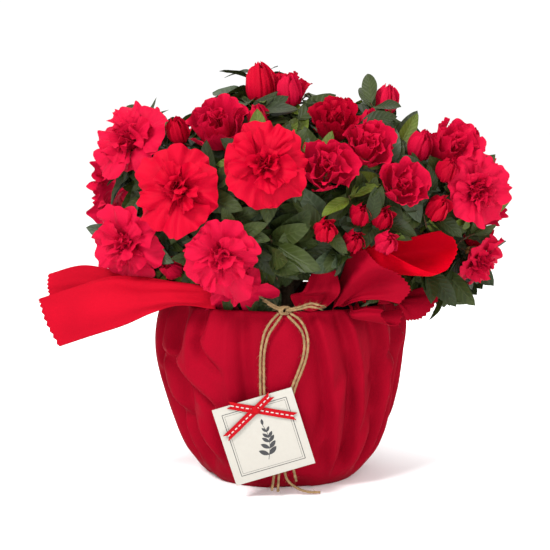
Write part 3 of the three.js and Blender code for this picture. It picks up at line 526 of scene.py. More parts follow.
def add_fibres(bunch, path, per_mm, longest, random):
    """Loose hairs that stand off a strand."""
    for _ in range(int(len(path) * per_mm)):
        k = int(random() * (len(path) - 2))
        along = unit(path[k + 1] - path[k])
        side = unit(np.cross(along, unit(any_way(random))))
        start = path[k] + side * TWINE_DIAMETER * 0.42
        reach = longest * (0.3 + 0.7 * random())
        lean = unit(side * random.between(0.4, 1.0) + along * random.between(-1, 1))
        hair = np.array([start, start + lean * reach * 0.5, start + (lean + along * 0.5) * reach])
        hair[:, 2] = np.maximum(hair[:, 2], HAIR_FLOOR)
        bunch.add(tube(hair, [0.07, 0.05, 0.02], 3), ring=True)


fibres = Bunch()
fibre_random = SeededRandom(71)
for name, route in TWINE_ROUTES.items():
    path, length = strand_path(route)
    bunch = Bunch()
    bunch.add(closed_tube(path, TWINE_DIAMETER / 2, 14, two_ply), ring=True)
    strand = bunch.build(f"twine_{name}_strand", TWINE, "twine", [f"twine_{name}"])
    add_fibres(fibres, path, 0.5, 3.2, fibre_random)

bow = Bunch()
kx, ky, kz = KNOT_CENTRE
ring_angle = np.linspace(0, 2 * math.pi, 40)
for loop in range(3):
    tilt = -0.5 + 0.5 * loop
    loop_path = np.stack([
        kx + (2.6 + 0.3 * loop) * np.cos(ring_angle) + 1.2 * (loop - 1),
        ky + 0.6 + 1.6 * np.cos(ring_angle + tilt),
        kz + 2.7 * np.sin(ring_angle),
    ], -1)
    bow.add(tube(loop_path, TWINE_DIAMETER / 2 * 0.9, 12, two_ply), ring=True)
# The short free ends of the bow: two to the left of the knot and two to the right.
BOW_ENDS = [
    [(0, -95, 145.3), (-7, -94, 148.6), (-13, -91, 152)],
    [(0, -95.5, 144.4), (-6, -95, 146.6), (-11, -93, 149.4)],
    [(3, -96, 145.3), (13, -99.5, 148), (21, -103, 151), (27, -105, 150)],
    [(3, -96.5, 144.4), (12, -99.5, 146.2), (20, -103, 148.6), (25, -104.5, 148)],
]
for end in BOW_ENDS:
    path, _ = strand_path(end, 0.6)
    bow.add(closed_tube(path, TWINE_DIAMETER / 2 * 0.92, 12, two_ply), ring=True)
    add_fibres(fibres, path, 0.9, 3.6, fibre_random)
    ahead = unit(path[-1] - path[-4])
    for _ in range(FRAYED_ENDS):
        spread = unit(ahead + 0.5 * any_way(fibre_random))
        hair = [path[-3], path[-1] + spread * 2.2, path[-1] + spread * fibre_random.between(3, 6)]
        fibres.add(tube(np.array(hair), [0.22, 0.14, 0.04], 4), ring=True)
bow_piece = bow.build("twine_bow", TWINE, "twine", ["twine_knot"])
fibre_piece = fibres.build("twine_fibres", TWINE, "twine")

# ---------------------------------------------------------------- card and ribbon

LEAN, ROLL = math.radians(TAG["lean"]), -math.radians(TAG["roll"])
TAG_TURN = np.array([
    [1, 0, 0], [0, math.cos(LEAN), -math.sin(LEAN)], [0, math.sin(LEAN), math.cos(LEAN)],
]) @ np.array([[math.cos(ROLL), 0, math.sin(ROLL)], [0, 1, 0], [-math.sin(ROLL), 0, math.cos(ROLL)]])


def on_card(points):
    """Points given as (right, out of the card, up) from the card's middle, in the row frame."""
    return (np.asarray(points, dtype=float) * vec(1, -1, 1)) @ TAG_TURN.T + vec(*TAG["centre"])


def card_line(bunch, points, width, lift):
    """A printed line along points (right, up) of the card."""
    points = np.asarray(points, dtype=float)
    run = np.gradient(points, axis=0)
    run /= np.linalg.norm(run, axis=1)[:, None]
    side = np.stack([-run[:, 1], run[:, 0]], -1) * (np.asarray(width).reshape(-1, 1) / 2)
    rows = [np.insert(points + side * s, 1, lift, axis=1) for s in (-1, 1)]
    bunch.add(on_card(np.stack(rows, 1)))


def card_leaf(bunch, root, angle, length, lift):
    """A printed leaf of the sprig."""
    t = np.linspace(0, 1, 9)
    middle = np.stack([root[0] + length * t * math.cos(angle), root[1] + length * t * math.sin(angle)], -1)
    card_line(bunch, middle, 0.1 + length * 0.42 * np.sin(np.pi * t) ** 0.8, lift)


CARD_BORDERS = ((6.0, 0.5), (7.6, 0.22))
SPRIG_PAIRS = 5

ink = Bunch()
ink_lift = TAG["thickness"] / 2 + 0.04
for inset, width in CARD_BORDERS:
    half = TAG["side"] / 2 - inset
    corners = [(-half, -half), (half, -half), (half, half), (-half, half)]
    for a, b in zip(corners, corners[1:] + corners[:1]):
        card_line(ink, [a, b], width, ink_lift)
stem_t = np.linspace(0, 1, 24)
stem_line = np.stack([-1.5 + 5.0 * np.sin(2.4 * stem_t), -18 + 27 * stem_t], -1)
card_line(ink, stem_line, 0.42, ink_lift)
for k in range(SPRIG_PAIRS):
    root = stem_line[int(0.16 * (k + 1) * 23)]
    for side in (-1, 1):
        card_leaf(ink, root, math.pi / 2 + side * (0.95 - 0.08 * k), 8.4 - 0.9 * k, ink_lift)
card_leaf(ink, stem_line[-1], math.pi / 2 - 0.1, 5, ink_lift)
ink.build("card_print", PRINT, "card")

ribbon, stitches = Bunch(), Bunch()
RIBBON_LIFTS = {"falling": 1.05, "rising": 1.65}
RIBBON_LAYERS = (0.0, 0.45)
NOTCH = 3.4
DASH = {"pitch": 3.6, "half_length": 1.1, "half_width": 0.42, "lift": 0.5, "bulge": 0.22}


def ribbon_surface(ends, lift, along, across):
    """Points of a ribbon that lies over the card: its ends stand off a little."""
    start, end = (np.asarray(p, dtype=float) for p in ends)
    run = end - start
    side = unit(vec(-run[1], run[0]))
    place = start + run * along[..., None] + side * across[..., None]
    waves = 0.9 * np.sin(2 * np.pi * along) ** 2 * (along * (1 - along) + 0.3)
    height = lift + waves + 0.25 * np.abs(2 * along - 1)
    return on_card(np.stack([place[..., 0], height, place[..., 1]], -1))


for name, lift in RIBBON_LIFTS.items():
    ends = RIBBON[name]
    reach = float(np.linalg.norm(np.subtract(*ends)))
    across_share = np.linspace(-1, 1, 9)[None, :]
    share = np.linspace(0, 1, 60)[:, None]
    notch = (1 - np.abs(across_share)) * NOTCH / reach
    along = share * (1 - 2 * notch) + notch
    across = np.broadcast_to(across_share * RIBBON["width"] / 2, along.shape)
    for layer in RIBBON_LAYERS:
        ribbon.add(ribbon_surface(ends, lift + layer, along, across))
    count = int(reach / DASH["pitch"])
    for n in range(1, count):
        run, side = blade_grid((4, 4))
        along = n / count + (2 * run - 1) * DASH["half_length"] / reach
        dash = ribbon_surface(ends, lift + DASH["lift"], along, side * DASH["half_width"])
        stitches.add(dash - (TAG_TURN @ vec(0, 1, 0)) * (DASH["bulge"] * (1 - side**2))[..., None])
knot_angle = round_turn(28)
knot_rows = []
for share in np.linspace(-1, 1, 13):
    swell = math.sqrt(max(0.03, 1 - share**2 * 0.75))
    fold = 1 + 0.06 * np.cos(5 * knot_angle + share)
    knot_rows.append(np.stack([
        0.5 + 3.0 * swell * np.cos(knot_angle) * fold,
        2.1 + 1.5 * swell * np.sin(knot_angle) * fold,
        np.full_like(knot_angle, 22.4 + 3.3 * share),
    ], -1))
ribbon.add(on_card(np.array(knot_rows)), ring=True)
ribbon.build("ribbon_strips", RIBBON_CLOTH, "ribbon", ["ribbon_bow"])
stitches.build("ribbon_stitches", STITCH, "ribbon")

# ---------------------------------------------------------------- wrap


def wrap_sway(azimuth, z):
    """How far the whole cup leans out on its left and in on its right, most at one height."""
    reach = np.exp(-(((z - WRAP_SWAY["height"]) / WRAP_SWAY["spread"]) ** 2))
    return WRAP_SWAY["out"] * (-np.sin(azimuth) * reach)


def source_fold(azimuth, z):
    """The folds of the source's wrap."""
    front = np.exp(-(((azimuth - SMOOTH_PANEL["azimuth"]) / SMOOTH_PANEL["width"]) ** 2))
    height = np.sin(np.pi * np.minimum(1, (z + 8) / (WRAP_HEIGHT + 20)))
    broad = WRAP_FOLDS["broad"] * np.sin(WRAP_FOLDS["broad_count"] * azimuth + 0.6)
    pleat = WRAP_FOLDS["pleat"] * np.sin(WRAP_FOLDS["pleat_count"] * azimuth + 1.4 * np.sin(3 * azimuth))
    return (1 - front) * height * (broad + pleat) + wrap_sway(azimuth, z)


# Creases of the front: azimuth in degrees at the top, at two thirds of the height and at the bottom, height
# range, depth outwards in millimetres, half-width in degrees on its left and on its right.
FRONT_CREASES = [
    ((-82, -80, -76), 6, 150, 3.4, 5, 6), ((-73, -71, -64), 4, 150, -8.5, 3.5, 6),
    ((-64, -63, -58), 4, 150, 4.2, 4, 3), ((-56, -55, -49), 4, 150, -9.5, 3, 6),
    ((-47, -46, -42), 4, 62, 4.4, 5, 4), ((-45, -44, -42), 84, 150, 5.4, 4, 2.4),
    ((-40, -39, -37), 96, 150, -9.0, 2.4, 4),
    ((-36, -34, -33), 2, 66, -5.0, 4, 3), ((-34, -33, -31), 100, 148, 4.4, 3, 3),
    ((-25, -24, -21), 2, 150, 6.0, 7, 3), ((-19.5, -18, -15), 10, 150, -5.5, 2.2, 5),
    ((15, 21.5, 33), 0, 150, 5.2, 1.8, 8), ((12, 18.5, 29), 8, 150, -5.4, 5, 1.8),
    ((29.5, 38, 46), 0, 150, 5.8, 2, 6), ((26.5, 34.5, 41.5), 4, 150, -7.6, 4.5, 2),
    ((49.5, 56, 62), 0, 150, 5.4, 2.2, 7), ((45.5, 51.5, 57.5), 2, 150, -8.0, 4.5, 2),
    ((68, 70, 73), 2, 150, 3.4, 2.4, 8), ((63.5, 65, 68), 4, 150, -7.0, 4, 2.2),
]


def creases():
    """The front's creases, and a seeded row of ridges with a valley each round the sides and the back."""
    rows = list(FRONT_CREASES)
    random = SeededRandom(203)
    azimuth, last = 80.0, 278
    while azimuth < last:
        lean = random.between(-7, 7)
        left, right = random.between(2, 5), random.between(5, 9)
        line = np.array([0, lean * 0.4, lean])
        rows.append((azimuth + line, random.between(0, 50), 150, random.between(3.4, 6.4), left, right))
        rows.append((azimuth - left - 2 + line, random.between(4, 60), 150, -random.between(5, 9.5), 4, 2.4))
        azimuth += random.between(11, 18)
    return rows


CREASES = creases()
FOLD_DEPTH = 1.2
CREASE_HEIGHTS = [0, 0.68 * WRAP_HEIGHT, WRAP_HEIGHT]
RIDGE_SHARPNESS, VALLEY_SHARPNESS = 1.1, 1.7
SOURCE_SHARE = 0.35


def wrap_folds(azimuth, z):
    """How far the upright creases push the cloth out of its plain cup, or draw it in."""
    degrees = np.degrees(azimuth)
    out = SOURCE_SHARE * source_fold(azimuth, z) + (1 - SOURCE_SHARE) * wrap_sway(azimuth, z)
    for line, low, high, depth, left, right in CREASES:
        centre = np.interp(z, CREASE_HEIGHTS, line[::-1])
        away = (degrees - centre + 180) % 360 - 180
        width = np.where(away < 0, left, right) * (0.75 + 0.5 * (1 - z / WRAP_HEIGHT))
        sharpness = RIDGE_SHARPNESS if depth > 0 else VALLEY_SHARPNESS
        ridge = np.exp(-np.abs(away / width) ** sharpness)
        reach = smooth((z - low) / 26) * smooth((high - z) / 20)
        out = out + depth * ridge * reach
    return FOLD_DEPTH * out * (0.35 + 0.65 * smooth(z / 30))


# Slack folds that hang slantwise, the deepest on the left: azimuth and height of both ends, depth and
# half-width in millimetres.
SLACK_FOLDS = [
    (-58, 108, -34, 78, 9.5, 6), (-37, 120, -27, 104, 7.5, 4.5), (-50, 62, -38, 30, 5.4, 7),
    (-70, 90, -52, 54, 6.0, 6), (-31, 72, -25, 26, 4.0, 6), (30, 88, 24, 44, 3.2, 6),
    (58, 74, 42, 18, 4.4, 7), (70, 116, 52, 84, 4.2, 6), (-12, 60, 6, 34, 0.9, 8), (8, 112, -8, 90, 0.8, 7),
    (-16, 20, 16, 12, 1.6, 6),
]
# How much cloth lies in a degree of azimuth.
DEGREE_WIDTH = 1.6


def slack(azimuth, z):
    """How far the slanting folds stand out, each with a valley under its ridge."""
    out = np.zeros_like(z)
    x = np.degrees(azimuth) * DEGREE_WIDTH
    for a0, z0, a1, z1, depth, width in SLACK_FOLDS:
        start, run = vec(a0 * DEGREE_WIDTH, z0), vec((a1 - a0) * DEGREE_WIDTH, z1 - z0)
        length = np.linalg.norm(run)
        run /= length
        along = (x - start[0]) * run[0] + (z - start[1]) * run[1]
        side = (x - start[0]) * -run[1] + (z - start[1]) * run[0]
        end = np.maximum(0, np.abs(along - length / 2) - length / 2)
        fall = np.exp(-((end / (width * 1.4)) ** 2)) * smooth(1.2 - along / length * 0.2)
        under = np.exp(-(((side + width * 1.4) / (0.8 * width)) ** 2))
        out = out + depth * fall * (np.exp(-np.abs(side / width) ** 1.15) - 0.9 * under)
    return out


def wrinkles(azimuth, z):
    """Small creases all over the cloth, from noise drawn out up the wrap."""
    out = np.zeros_like(z)
    for index in np.ndindex(z.shape):
        a, h = float(azimuth[index]), float(z[index])
        place = Vector((math.cos(a) * 3.1, math.sin(a) * 3.1, h / 60))
        out[index] = noise.fractal(place, 0.8, 2.1, 3)
    return out


WRAP_COLUMNS = 440
WRAP_ROWS = 76
WRAP_FLOOR = [(6, 0.5), (28, 0.5), (48, 0.4), (57, 0.2)]
# The turned-in lip: radius, height and the share of the folds that reaches it.
WRAP_LIP = [
    (92, 142.9, 0.9), (90.6, 143.1, 0.75), (89.8, 141.5, 0.6), (89.6, 136, 0.5), (89.9, 128, 0.3),
    (90, 116, 0.2),
]
# The most that the folds stand out, less towards the sides, and the most that they go in, less at the rim.
FOLD_LIMITS = {"out": 9, "less_aside": 5.5, "in": 14, "less_above": 8, "rim_from": 98, "rim_over": 16}

lip = np.array(WRAP_LIP)
rows = np.vstack([WRAP_FLOOR, spline(WRAP_PROFILE, np.linspace(0, 1, WRAP_ROWS)), lip[:, :2]])
folded = np.concatenate([np.zeros(len(WRAP_FLOOR)), np.ones(WRAP_ROWS), lip[:, 2]])[:, None]
wrap_azimuth = np.linspace(-math.pi, math.pi, WRAP_COLUMNS, endpoint=False)[None, :] * np.ones((len(rows), 1))
wrap_z = rows[:, 1:2] * np.ones((1, WRAP_COLUMNS))
folds = wrap_folds(wrap_azimuth, np.minimum(wrap_z, WRAP_HEIGHT)) + slack(wrap_azimuth, wrap_z)
folds = folds + 1.1 * wrinkles(wrap_azimuth, wrap_z) * smooth(wrap_z / 20)
outward = FOLD_LIMITS["out"] - FOLD_LIMITS["less_aside"] * np.abs(np.sin(wrap_azimuth)) ** 6
near_rim = smooth((wrap_z - FOLD_LIMITS["rim_from"]) / FOLD_LIMITS["rim_over"])
inward = FOLD_LIMITS["in"] - FOLD_LIMITS["less_above"] * near_rim
folds = np.where(folds > 0, outward * np.tanh(folds / outward), inward * np.tanh(folds / inward))
radius = rows[:, :1] - FABRIC / 2 + folds * folded
tuck = 1.6 * np.maximum(0, np.sin(5 * wrap_azimuth + 0.8) + 0.6 * np.sin(9 * wrap_azimuth))
tuck = tuck * (1 - smooth(wrap_z / 22)) * folded
wrap_grid = np.stack([
    radius * np.sin(wrap_azimuth), -radius * np.cos(wrap_azimuth), np.maximum(wrap_z, 0.2) + tuck,
], -1)
wrap = Bunch()
wrap.add(wrap_grid, ring=True)
wrap_piece = wrap.build("wrap_cloth", WRAP, "wrap", ["wrap_body"])


def on_rim(degrees, lift):
    """A point on the wrap's rim, where the root of a tail meets it."""
    azimuth = math.radians(degrees)
    radius = WRAP_PROFILE[-1][0] - FABRIC / 2 + float(source_fold(azimuth, WRAP_HEIGHT))
    return (radius * math.sin(azimuth), -radius * math.cos(azimuth), WRAP_HEIGHT + FABRIC + lift)


# Each tail's net: rows from its root to its end, each a few points across the cloth.
TAILS = {
    "left_front": [
        [(-50, -76, 160), (-50, -81, 158), (-51, -80, 151), on_rim(-33, -0.2)],
        [(-84, -76, 164), (-83, -86, 161), (-82, -90, 153), (-80, -87, 146.4)],
        [(-108, -74, 167), (-107, -84, 161.5), (-104, -92, 151), (-98, -90, 141.5)],
        [(-130, -74, 167), (-129, -81, 164.5), (-125, -91, 149), (-118, -89, 132.5)],
        [(-157, -74, 159), (-156.5, -78, 156.5), (-152, -86, 140), (-146, -86, 123)],
        [(-185, -73, 150), (-184, -75, 147.5), (-178, -80, 132), (-169, -82, 114.8)],
    ],
    "left_back": [
        [(-71, -60, 163), (-73, -59, 154), on_rim(-52, -0.2)],
        [(-116, -55, 167), (-116, -59, 156), (-114, -56, 146)],
        [(-153, -48, 173), (-152, -52, 161), (-149, -50, 149)],
        [(-181.5, -43, 165.5), (-182, -47, 156.5), (-180.5, -46, 147.5)],
    ],
    "right_upper": [
        [
            (57, -69.5, 148.5), (58.5, -67.5, 148), (60.5, -65.5, 147.4),
            (62.5, -65.5, 146.2), on_rim(44.5, -0.3),
        ],
        [(51, -76, 187), (53, -70, 178), (57, -72, 170), (60, -82, 170), (58, -88, 180)],
        [(62, -76, 192.5), (64, -68, 181), (68, -78, 170.5), (71, -90, 173), (63, -93, 190.5)],
        [(77, -74, 193.6), (80, -65, 182), (83, -81, 171), (85, -94, 174.5), (75.6, -99, 188.3)],
        [(96, -72, 196.4), (100, -62, 184), (98, -84, 170.3), (95, -98, 172.5), (91.8, -103, 180.4)],
        [
            (116.5, -72, 201), (121, -64, 187), (113, -84, 171.5),
            (108, -96, 170.5), (105.5, -101, 174.5),
        ],
        [
            (125.6, -72, 202.2), (132.6, -70, 188.6), (125.5, -81, 176.5),
            (117.5, -91, 173), (110.5, -99, 173),
        ],
    ],
    "right_middle": [
        [
            on_rim(24, -0.4), (38.5, -84, 145.2), (40, -83.8, 146),
            (41.5, -83.4, 146.4), (42.8, -83, 145.8),
        ],
        [
            (43.8, -80, 170.3), (51.2, -100, 167), (55.4, -91, 157.2),
            (58.9, -95, 154.6), (58.9, -96, 152),
        ],
        [(49.4, -90, 186.5), (64, -108, 178.5), (71, -94, 165), (77, -101, 157.5), (72, -102, 153.5)],
        [(61.4, -101, 191), (70, -109, 181), (85.5, -106, 173), (94.9, -100, 161), (86.6, -104, 150.5)],
    ],
    "right_curl": [
        [(49, -81, 147.5), (50.5, -79.5, 145.8), on_rim(35, 0.3), (55, -72, 145.8), (56, -69.5, 148.5)],
        [
            (52.5, -91.5, 144.6), (52, -95.5, 141.4), (53.3, -91, 139),
            (58.2, -84, 138.8), (61.2, -80, 142.5),
        ],
        [
            (63.3, -98, 146.6), (61.6, -103.5, 142.8), (66.3, -100, 137),
            (73.6, -90, 136), (77, -84, 143),
        ],
        [
            (74.5, -105, 147.2), (72, -111, 144), (78.4, -106.5, 135.6),
            (87.3, -95, 134.3), (90.8, -88, 144.7),
        ],
    ],
    "right_gather": [
        [(10, -88.5, 145.8), on_rim(13.5, -0.3), (30, -86.6, 145.6)],
        [(6, -85, 154), (25, -87.5, 154), (39.5, -96.5, 154)],
        [(14, -95, 158), (29, -99.5, 159.5), (42.5, -101, 160)],
        [(21, -92, 171), (32, -95, 171.5), (41, -94, 170)],
        [(28.5, -86, 182.5), (31.5, -88, 184.5), (35.5, -88, 182.5)],
    ],
    "right_back": [
        [(70, -63, 148), (73.5, -60, 146), on_rim(52, 0.2), (79, -51, 147.5)],
        [(86, -66, 147), (92, -62, 145), (98, -57, 148), (99, -50, 154)],
        [(95, -66, 132), (107, -62, 133.5), (121, -56, 149), (124, -50, 160)],
    ],
}
TOOTH = {"pitch": 3.4, "depth": 1.5, "from": 0.96}
CLOTH = 0.5
TAIL_ROWS = 64
# The tails that the light comes through or falls into have a brighter cloth than the wrap's: painted light,
# lighter copies of the same cloth.
TAIL_CLOTH = {"left_front": LIT_TAIL, "left_back": LIT_TAIL, "right_upper": LIT_SCOOP}
NET_STEPS = 120
NET_STEP = 0.004


def net_surface(net, u, v):
    """Points of a tail's net at shares u along it and v across it, both arrays of one shape."""
    shares = np.linspace(0, 1, NET_STEPS)
    rows = np.stack([spline(row, shares) for row in net], 0)
    fine = np.stack([spline(rows[:, k], shares) for k in range(len(shares))], 1)
    x, y = u * (len(shares) - 1), v * (len(shares) - 1)
    i, j = (np.minimum(t.astype(int), len(shares) - 2) for t in (x, y))
    a, b = (x - i)[..., None], (y - j)[..., None]
    near = fine[i, j] * (1 - b) + fine[i, j + 1] * b
    far = fine[i + 1, j] * (1 - b) + fine[i + 1, j + 1] * b
    return near * (1 - a) + far * a


def net_slope(net, u, v, du, dv):
    """How the net's surface runs from just before a share to just after it."""
    ahead = net_surface(net, np.clip(u + du, 0, 1), np.clip(v + dv, 0, 1))
    return ahead - net_surface(net, np.clip(u - du, 0, 1), np.clip(v - dv, 0, 1))


def tail_piece(name, net, seed):
    """A thin cloth tail with a pinked end, small gathers at its root and soft waves. Returns its points."""
    random = SeededRandom(seed)
    shares = np.linspace(0, 1, NET_STEPS)
    lengths = [run_length(net_surface(net, shares, np.full(NET_STEPS, v))) for v in (0.0, 0.5, 1.0)]
    widths = [run_length(net_surface(net, np.full(NET_STEPS, u), shares)) for u in (0.15, 0.5, 0.8, 1.0)]
    teeth = max(6, int(widths[-1] / TOOTH["pitch"]))
    u, v = np.meshgrid(np.linspace(0, 1, TAIL_ROWS), np.linspace(0, 1, 4 * teeth + 1), indexing="ij")
    bite = np.abs((v * teeth) % 1 - 0.5) * 2
    reach = 1 - TOOTH["depth"] / np.mean(lengths) * bite
    edge = TOOTH["from"]
    u = np.where(u > edge, edge + (u - edge) / (1 - edge) * (reach - edge), u)
    points = net_surface(net, u, v)
    normal = np.cross(net_slope(net, u, v, NET_STEP, 0), net_slope(net, u, v, 0, NET_STEP))
    normal /= np.linalg.norm(normal, axis=-1)[..., None]
    phase = [random.between(0, 6.28) for _ in range(4)]
    gather = np.exp(-u * 2.2) * smooth(u / 0.12)
    lift = 1.6 * gather * np.sin(v * 11 + phase[0] + 2 * u) + 0.9 * gather * np.sin(v * 23 + phase[1])
    lift = lift + 0.7 * np.sin(u * 7 + v * 3 + phase[2]) * np.sin(v * 4 + phase[3]) * smooth(u / 0.2)
    points = points + normal * lift[..., None]
    bunch = Bunch()
    bunch.add(points)
    piece = bunch.build(f"tail_{name}", TAIL_CLOTH.get(name, WRAP), "wrap", [f"wrap_tail_{name}"])
    layer = piece.modifiers.new("thickness", "SOLIDIFY")
    layer.thickness = CLOTH * MM
    layer.offset = 0
    return points


tail_grids = [tail_piece(name, net, 31 + k) for k, (name, net) in enumerate(TAILS.items())]

# ---------------------------------------------------------------- compost

POT_FLOOR = FABRIC + CLEARANCE
POT_SLOPE = (POT_TOP_RADIUS - POT_BASE_RADIUS) / POT_HEIGHT
SOIL_ROWS = 40
SOIL_SLUMP = 3
CRUMBS = 520


def soil_radius(z):
    """The pot's clear inside radius at a height."""
    return POT_BASE_RADIUS + POT_SLOPE * (z - POT_FLOOR) - POT_WALL - 2 * CLEARANCE


soil = Bunch()
soil_foot = POT_FLOOR + POT_WALL + CLEARANCE
soil_edge = SOIL_TOP - 4
soil_rows = [(2, soil_foot), (soil_radius(soil_foot) - 1, soil_foot), (soil_radius(soil_edge), soil_edge)]
for k in range(1, SOIL_ROWS):
    out = 1 - k / SOIL_ROWS
    soil_rows.append((soil_radius(SOIL_TOP - SOIL_SLUMP) * out, SOIL_TOP - SOIL_SLUMP * out**2))
soil_grid = []
for k, (r, z) in enumerate(soil_rows):
    ring = []
    for angle in round_turn(150):
        x, y = r * math.cos(angle), r * math.sin(angle)
        rough = noise.fractal(Vector((x / 9, y / 9, 0.3)), 0.9, 2.2, 4) if k > 3 else 0
        ring.append((x, y, z + 1.5 * rough))
    soil_grid.append(ring)
soil.add(np.array(soil_grid), ring=True)
crumb_random = SeededRandom(401)
tilt, spin = np.meshgrid(np.linspace(0.12, math.pi - 0.12, 5), round_turn(7), indexing="ij")
sphere = np.stack([np.sin(tilt) * np.cos(spin), np.sin(tilt) * np.sin(spin), np.cos(tilt)], -1)
for _ in range(CRUMBS):
    r = 76 * math.sqrt(crumb_random())
    angle = 2 * math.pi * crumb_random()
    size = crumb_random.between(0.7, 2.4)
    squash = vec(*(crumb_random.between(low, high) for low, high in ((0.7, 1.6), (0.6, 1.2), (0.5, 0.9))))
    at = vec(r * math.cos(angle), r * math.sin(angle), SOIL_TOP - SOIL_SLUMP * (r / 80) ** 2 + 0.6)
    soil.add((sphere * squash * size) @ about_z(angle * 3).T + at, ring=True)
soil.build("compost", COMPOST, "soil", ["soil"])

# ---------------------------------------------------------------- trunk and boughs


def trunk_point(share):
    """Points on the trunk's axis, at shares 0 to 1 of its height."""
    share = np.asarray(share, dtype=float)
    return np.stack([
        TRUNK["lean"][0] * share, TRUNK["lean"][1] * share, SOIL_TOP + CLEARANCE + TRUNK["height"] * share,
    ], -1)


def trunk_radius(share):
    """The trunk's radius at a share of its height, with its root flare."""
    flare = (TRUNK["foot"] - TRUNK["base"]) * np.exp(-share * 9)
    return TRUNK["base"] + (TRUNK["top"] - TRUNK["base"]) * share + flare


def crown_point(azimuth, elevation, reach):
    """A point at an azimuth and elevation in degrees and a share of the crown's radii from its centre."""
    turn, rise = math.radians(azimuth), math.radians(elevation)
    offset = vec(
        CROWN_RADII[0] * math.sin(turn) * math.cos(rise),
        -CROWN_RADII[1] * math.cos(turn) * math.cos(rise),
        CROWN_RADII[2] * math.sin(rise),
    )
    return CROWN_CENTRE + offset * reach


def bough_points(index):
    """The three points that a bough's curve is drawn from, as in the source."""
    _, azimuth, elevation = MASSES[index][:3]
    share = min(0.97, max(0.2, 0.42 + elevation / 150 + 0.06 * (index % 3)))
    end = crown_point(azimuth, elevation, BOUGH_REACH)
    axis = trunk_point(share)
    away = end - axis
    away[2] = 0
    away = unit(away)
    start = axis + away * trunk_radius(share) * 0.6
    reach = np.linalg.norm(end - start)
    return [start, start + away * reach * BOUGH["out"] + UP * reach * BOUGH["up"], end]


def rough_bark(grid, path, height, grain):
    """Pushes a limb's surface in and out: furrows drawn out along it, and small knots."""
    out = grid.copy()
    for i in range(grid.shape[0]):
        for j in range(grid.shape[1]):
            away = grid[i, j] - path[i]
            length = np.linalg.norm(away)
            if length < 0.2:
                continue
            place = Vector(grid[i, j] * vec(1, 1, 0.32) / grain)
            out[i, j] += away / length * height * noise.fractal(place, 0.9, 2.1, 4)
    return out


bark = Bunch()
trunk_share = np.linspace(0, 1.02, 70)
trunk_path = trunk_point(trunk_share)
trunk_angle = round_turn(56)
roots = 1 + 0.2 * np.exp(-trunk_share[:, None] * 7) * np.cos(5 * trunk_angle[None, :])
trunk_rim = trunk_radius(trunk_share)[:, None] * roots
trunk_rim[-1] *= 0.3
trunk_grid = np.stack([
    trunk_path[:, :1] + trunk_rim * np.cos(trunk_angle), trunk_path[:, 1:2] + trunk_rim * np.sin(trunk_angle),
    trunk_path[:, 2:] + 0 * trunk_rim,
], -1)
bark.add(rough_bark(trunk_grid, trunk_path, 1.0, 5.0), ring=True)
bough_names = [f"bough_{row[0]}" for row in MASSES]
for index in range(len(MASSES)):
    share = np.linspace(0, 1, 40)
    path = bezier(bough_points(index), share)
    wobble = 0.5 * np.stack([np.sin(9 * share + index), np.cos(7 * share + 2 * index), 0 * share], -1)
    path = path + wobble * np.sin(np.pi * share)[:, None]
    radii = BOUGH["base"] + (BOUGH["tip"] - BOUGH["base"]) * share + 0.8 * np.exp(-share * 14)
    bark.add(rough_bark(tube(path, radii, 16), path, 0.3, 2.6), ring=True)
bark.build("bark_limbs", BARK, "bark", ["trunk", *bough_names])

# ---------------------------------------------------------------- where the flower heads stand

CELLS = [crown_point(row[1], row[2], HUB_REACH) for row in MASSES]


def in_cell(point, index):
    """Whether a point is nearer to the mass's own hub than to any other, as in the source."""
    own = CELLS[index]
    for k, other in enumerate(CELLS):
        if k == index:
            continue
        if np.dot(unit(other - own), point - (own + other) / 2) >= -CLEARANCE:
            return False
    return True


def facing_at(point, kind="shoot"):
    out = unit((point - CROWN_CENTRE) / CROWN_RADII**2)
    pull = FRONT_PULL * min(1, -out[1] * 2) if out[1] < 0 else 0
    return unit(out + vec(0, -pull, HEAD_LIFT[kind]))


def new_head(kind, radius, centre):
    facing = facing_at(centre, kind)
    return {"kind": kind, "radius": radius, "centre": centre, "facing": facing, "turn": turn_to(facing)}


def head_fits(head, index, heads):
    for centre, radius in HEAD_GUARDS:
        if np.linalg.norm(head["centre"] - vec(*centre)) < radius + head["radius"] * 0.7:
            return False
    for other in heads:
        least = (head["radius"] + other["radius"]) * HEAD_SPACING[head["kind"]]
        if np.linalg.norm(head["centre"] - other["centre"]) < least:
            return False
    points = [head["centre"]]
    for i in range(12):
        angle = i * math.pi / 6
        rim = vec(math.cos(angle), math.sin(angle), 0) * head["radius"]
        points.append(head["turn"] @ rim + head["centre"])
    points.append(head["centre"] - head["facing"] * head["radius"] * HEAD_DEPTH[head["kind"]])
    return all(in_cell(point, index) for point in points)


def heads_of(index):
    """A mass's flower heads and shoots: its lead, then each other one at the first free place of a spiral."""
    _, azimuth, elevation, reach, lead, size, others = MASSES[index]
    random = SeededRandom(index + 11)
    heads = [new_head(lead, size, crown_point(azimuth, elevation, reach))]
    narrowing = max(0.35, math.cos(math.radians(elevation)))
    for kind, count in zip(HEAD_KINDS, others):
        for _ in range(count):
            start = random() * 2 * math.pi
            scale = 0.88 + 0.24 * random()
            growth = SPIRAL["open_growth"] if kind == "open" else SPIRAL["growth"]
            for attempt in range(SPIRAL["places"]):
                spread = SPIRAL["start"] + growth * math.sqrt(attempt)
                angle = start + attempt * GOLDEN_ANGLE
                across = azimuth + spread * math.cos(angle) / narrowing
                up = elevation + SPIRAL["rise"] * spread * math.sin(angle)
                centre = crown_point(across, up, reach * HEAD_REACH[kind] - 0.1 * random())
                head = new_head(kind, HEAD_RADII[kind] * scale, centre)
                if head_fits(head, index, heads):
                    heads.append(head)
                    break
    return heads


HEADS = [heads_of(index) for index in range(len(MASSES))]
ALL_HEADS = [head for heads in HEADS for head in heads if head["kind"] != "shoot"]

# ---------------------------------------------------------------- petals


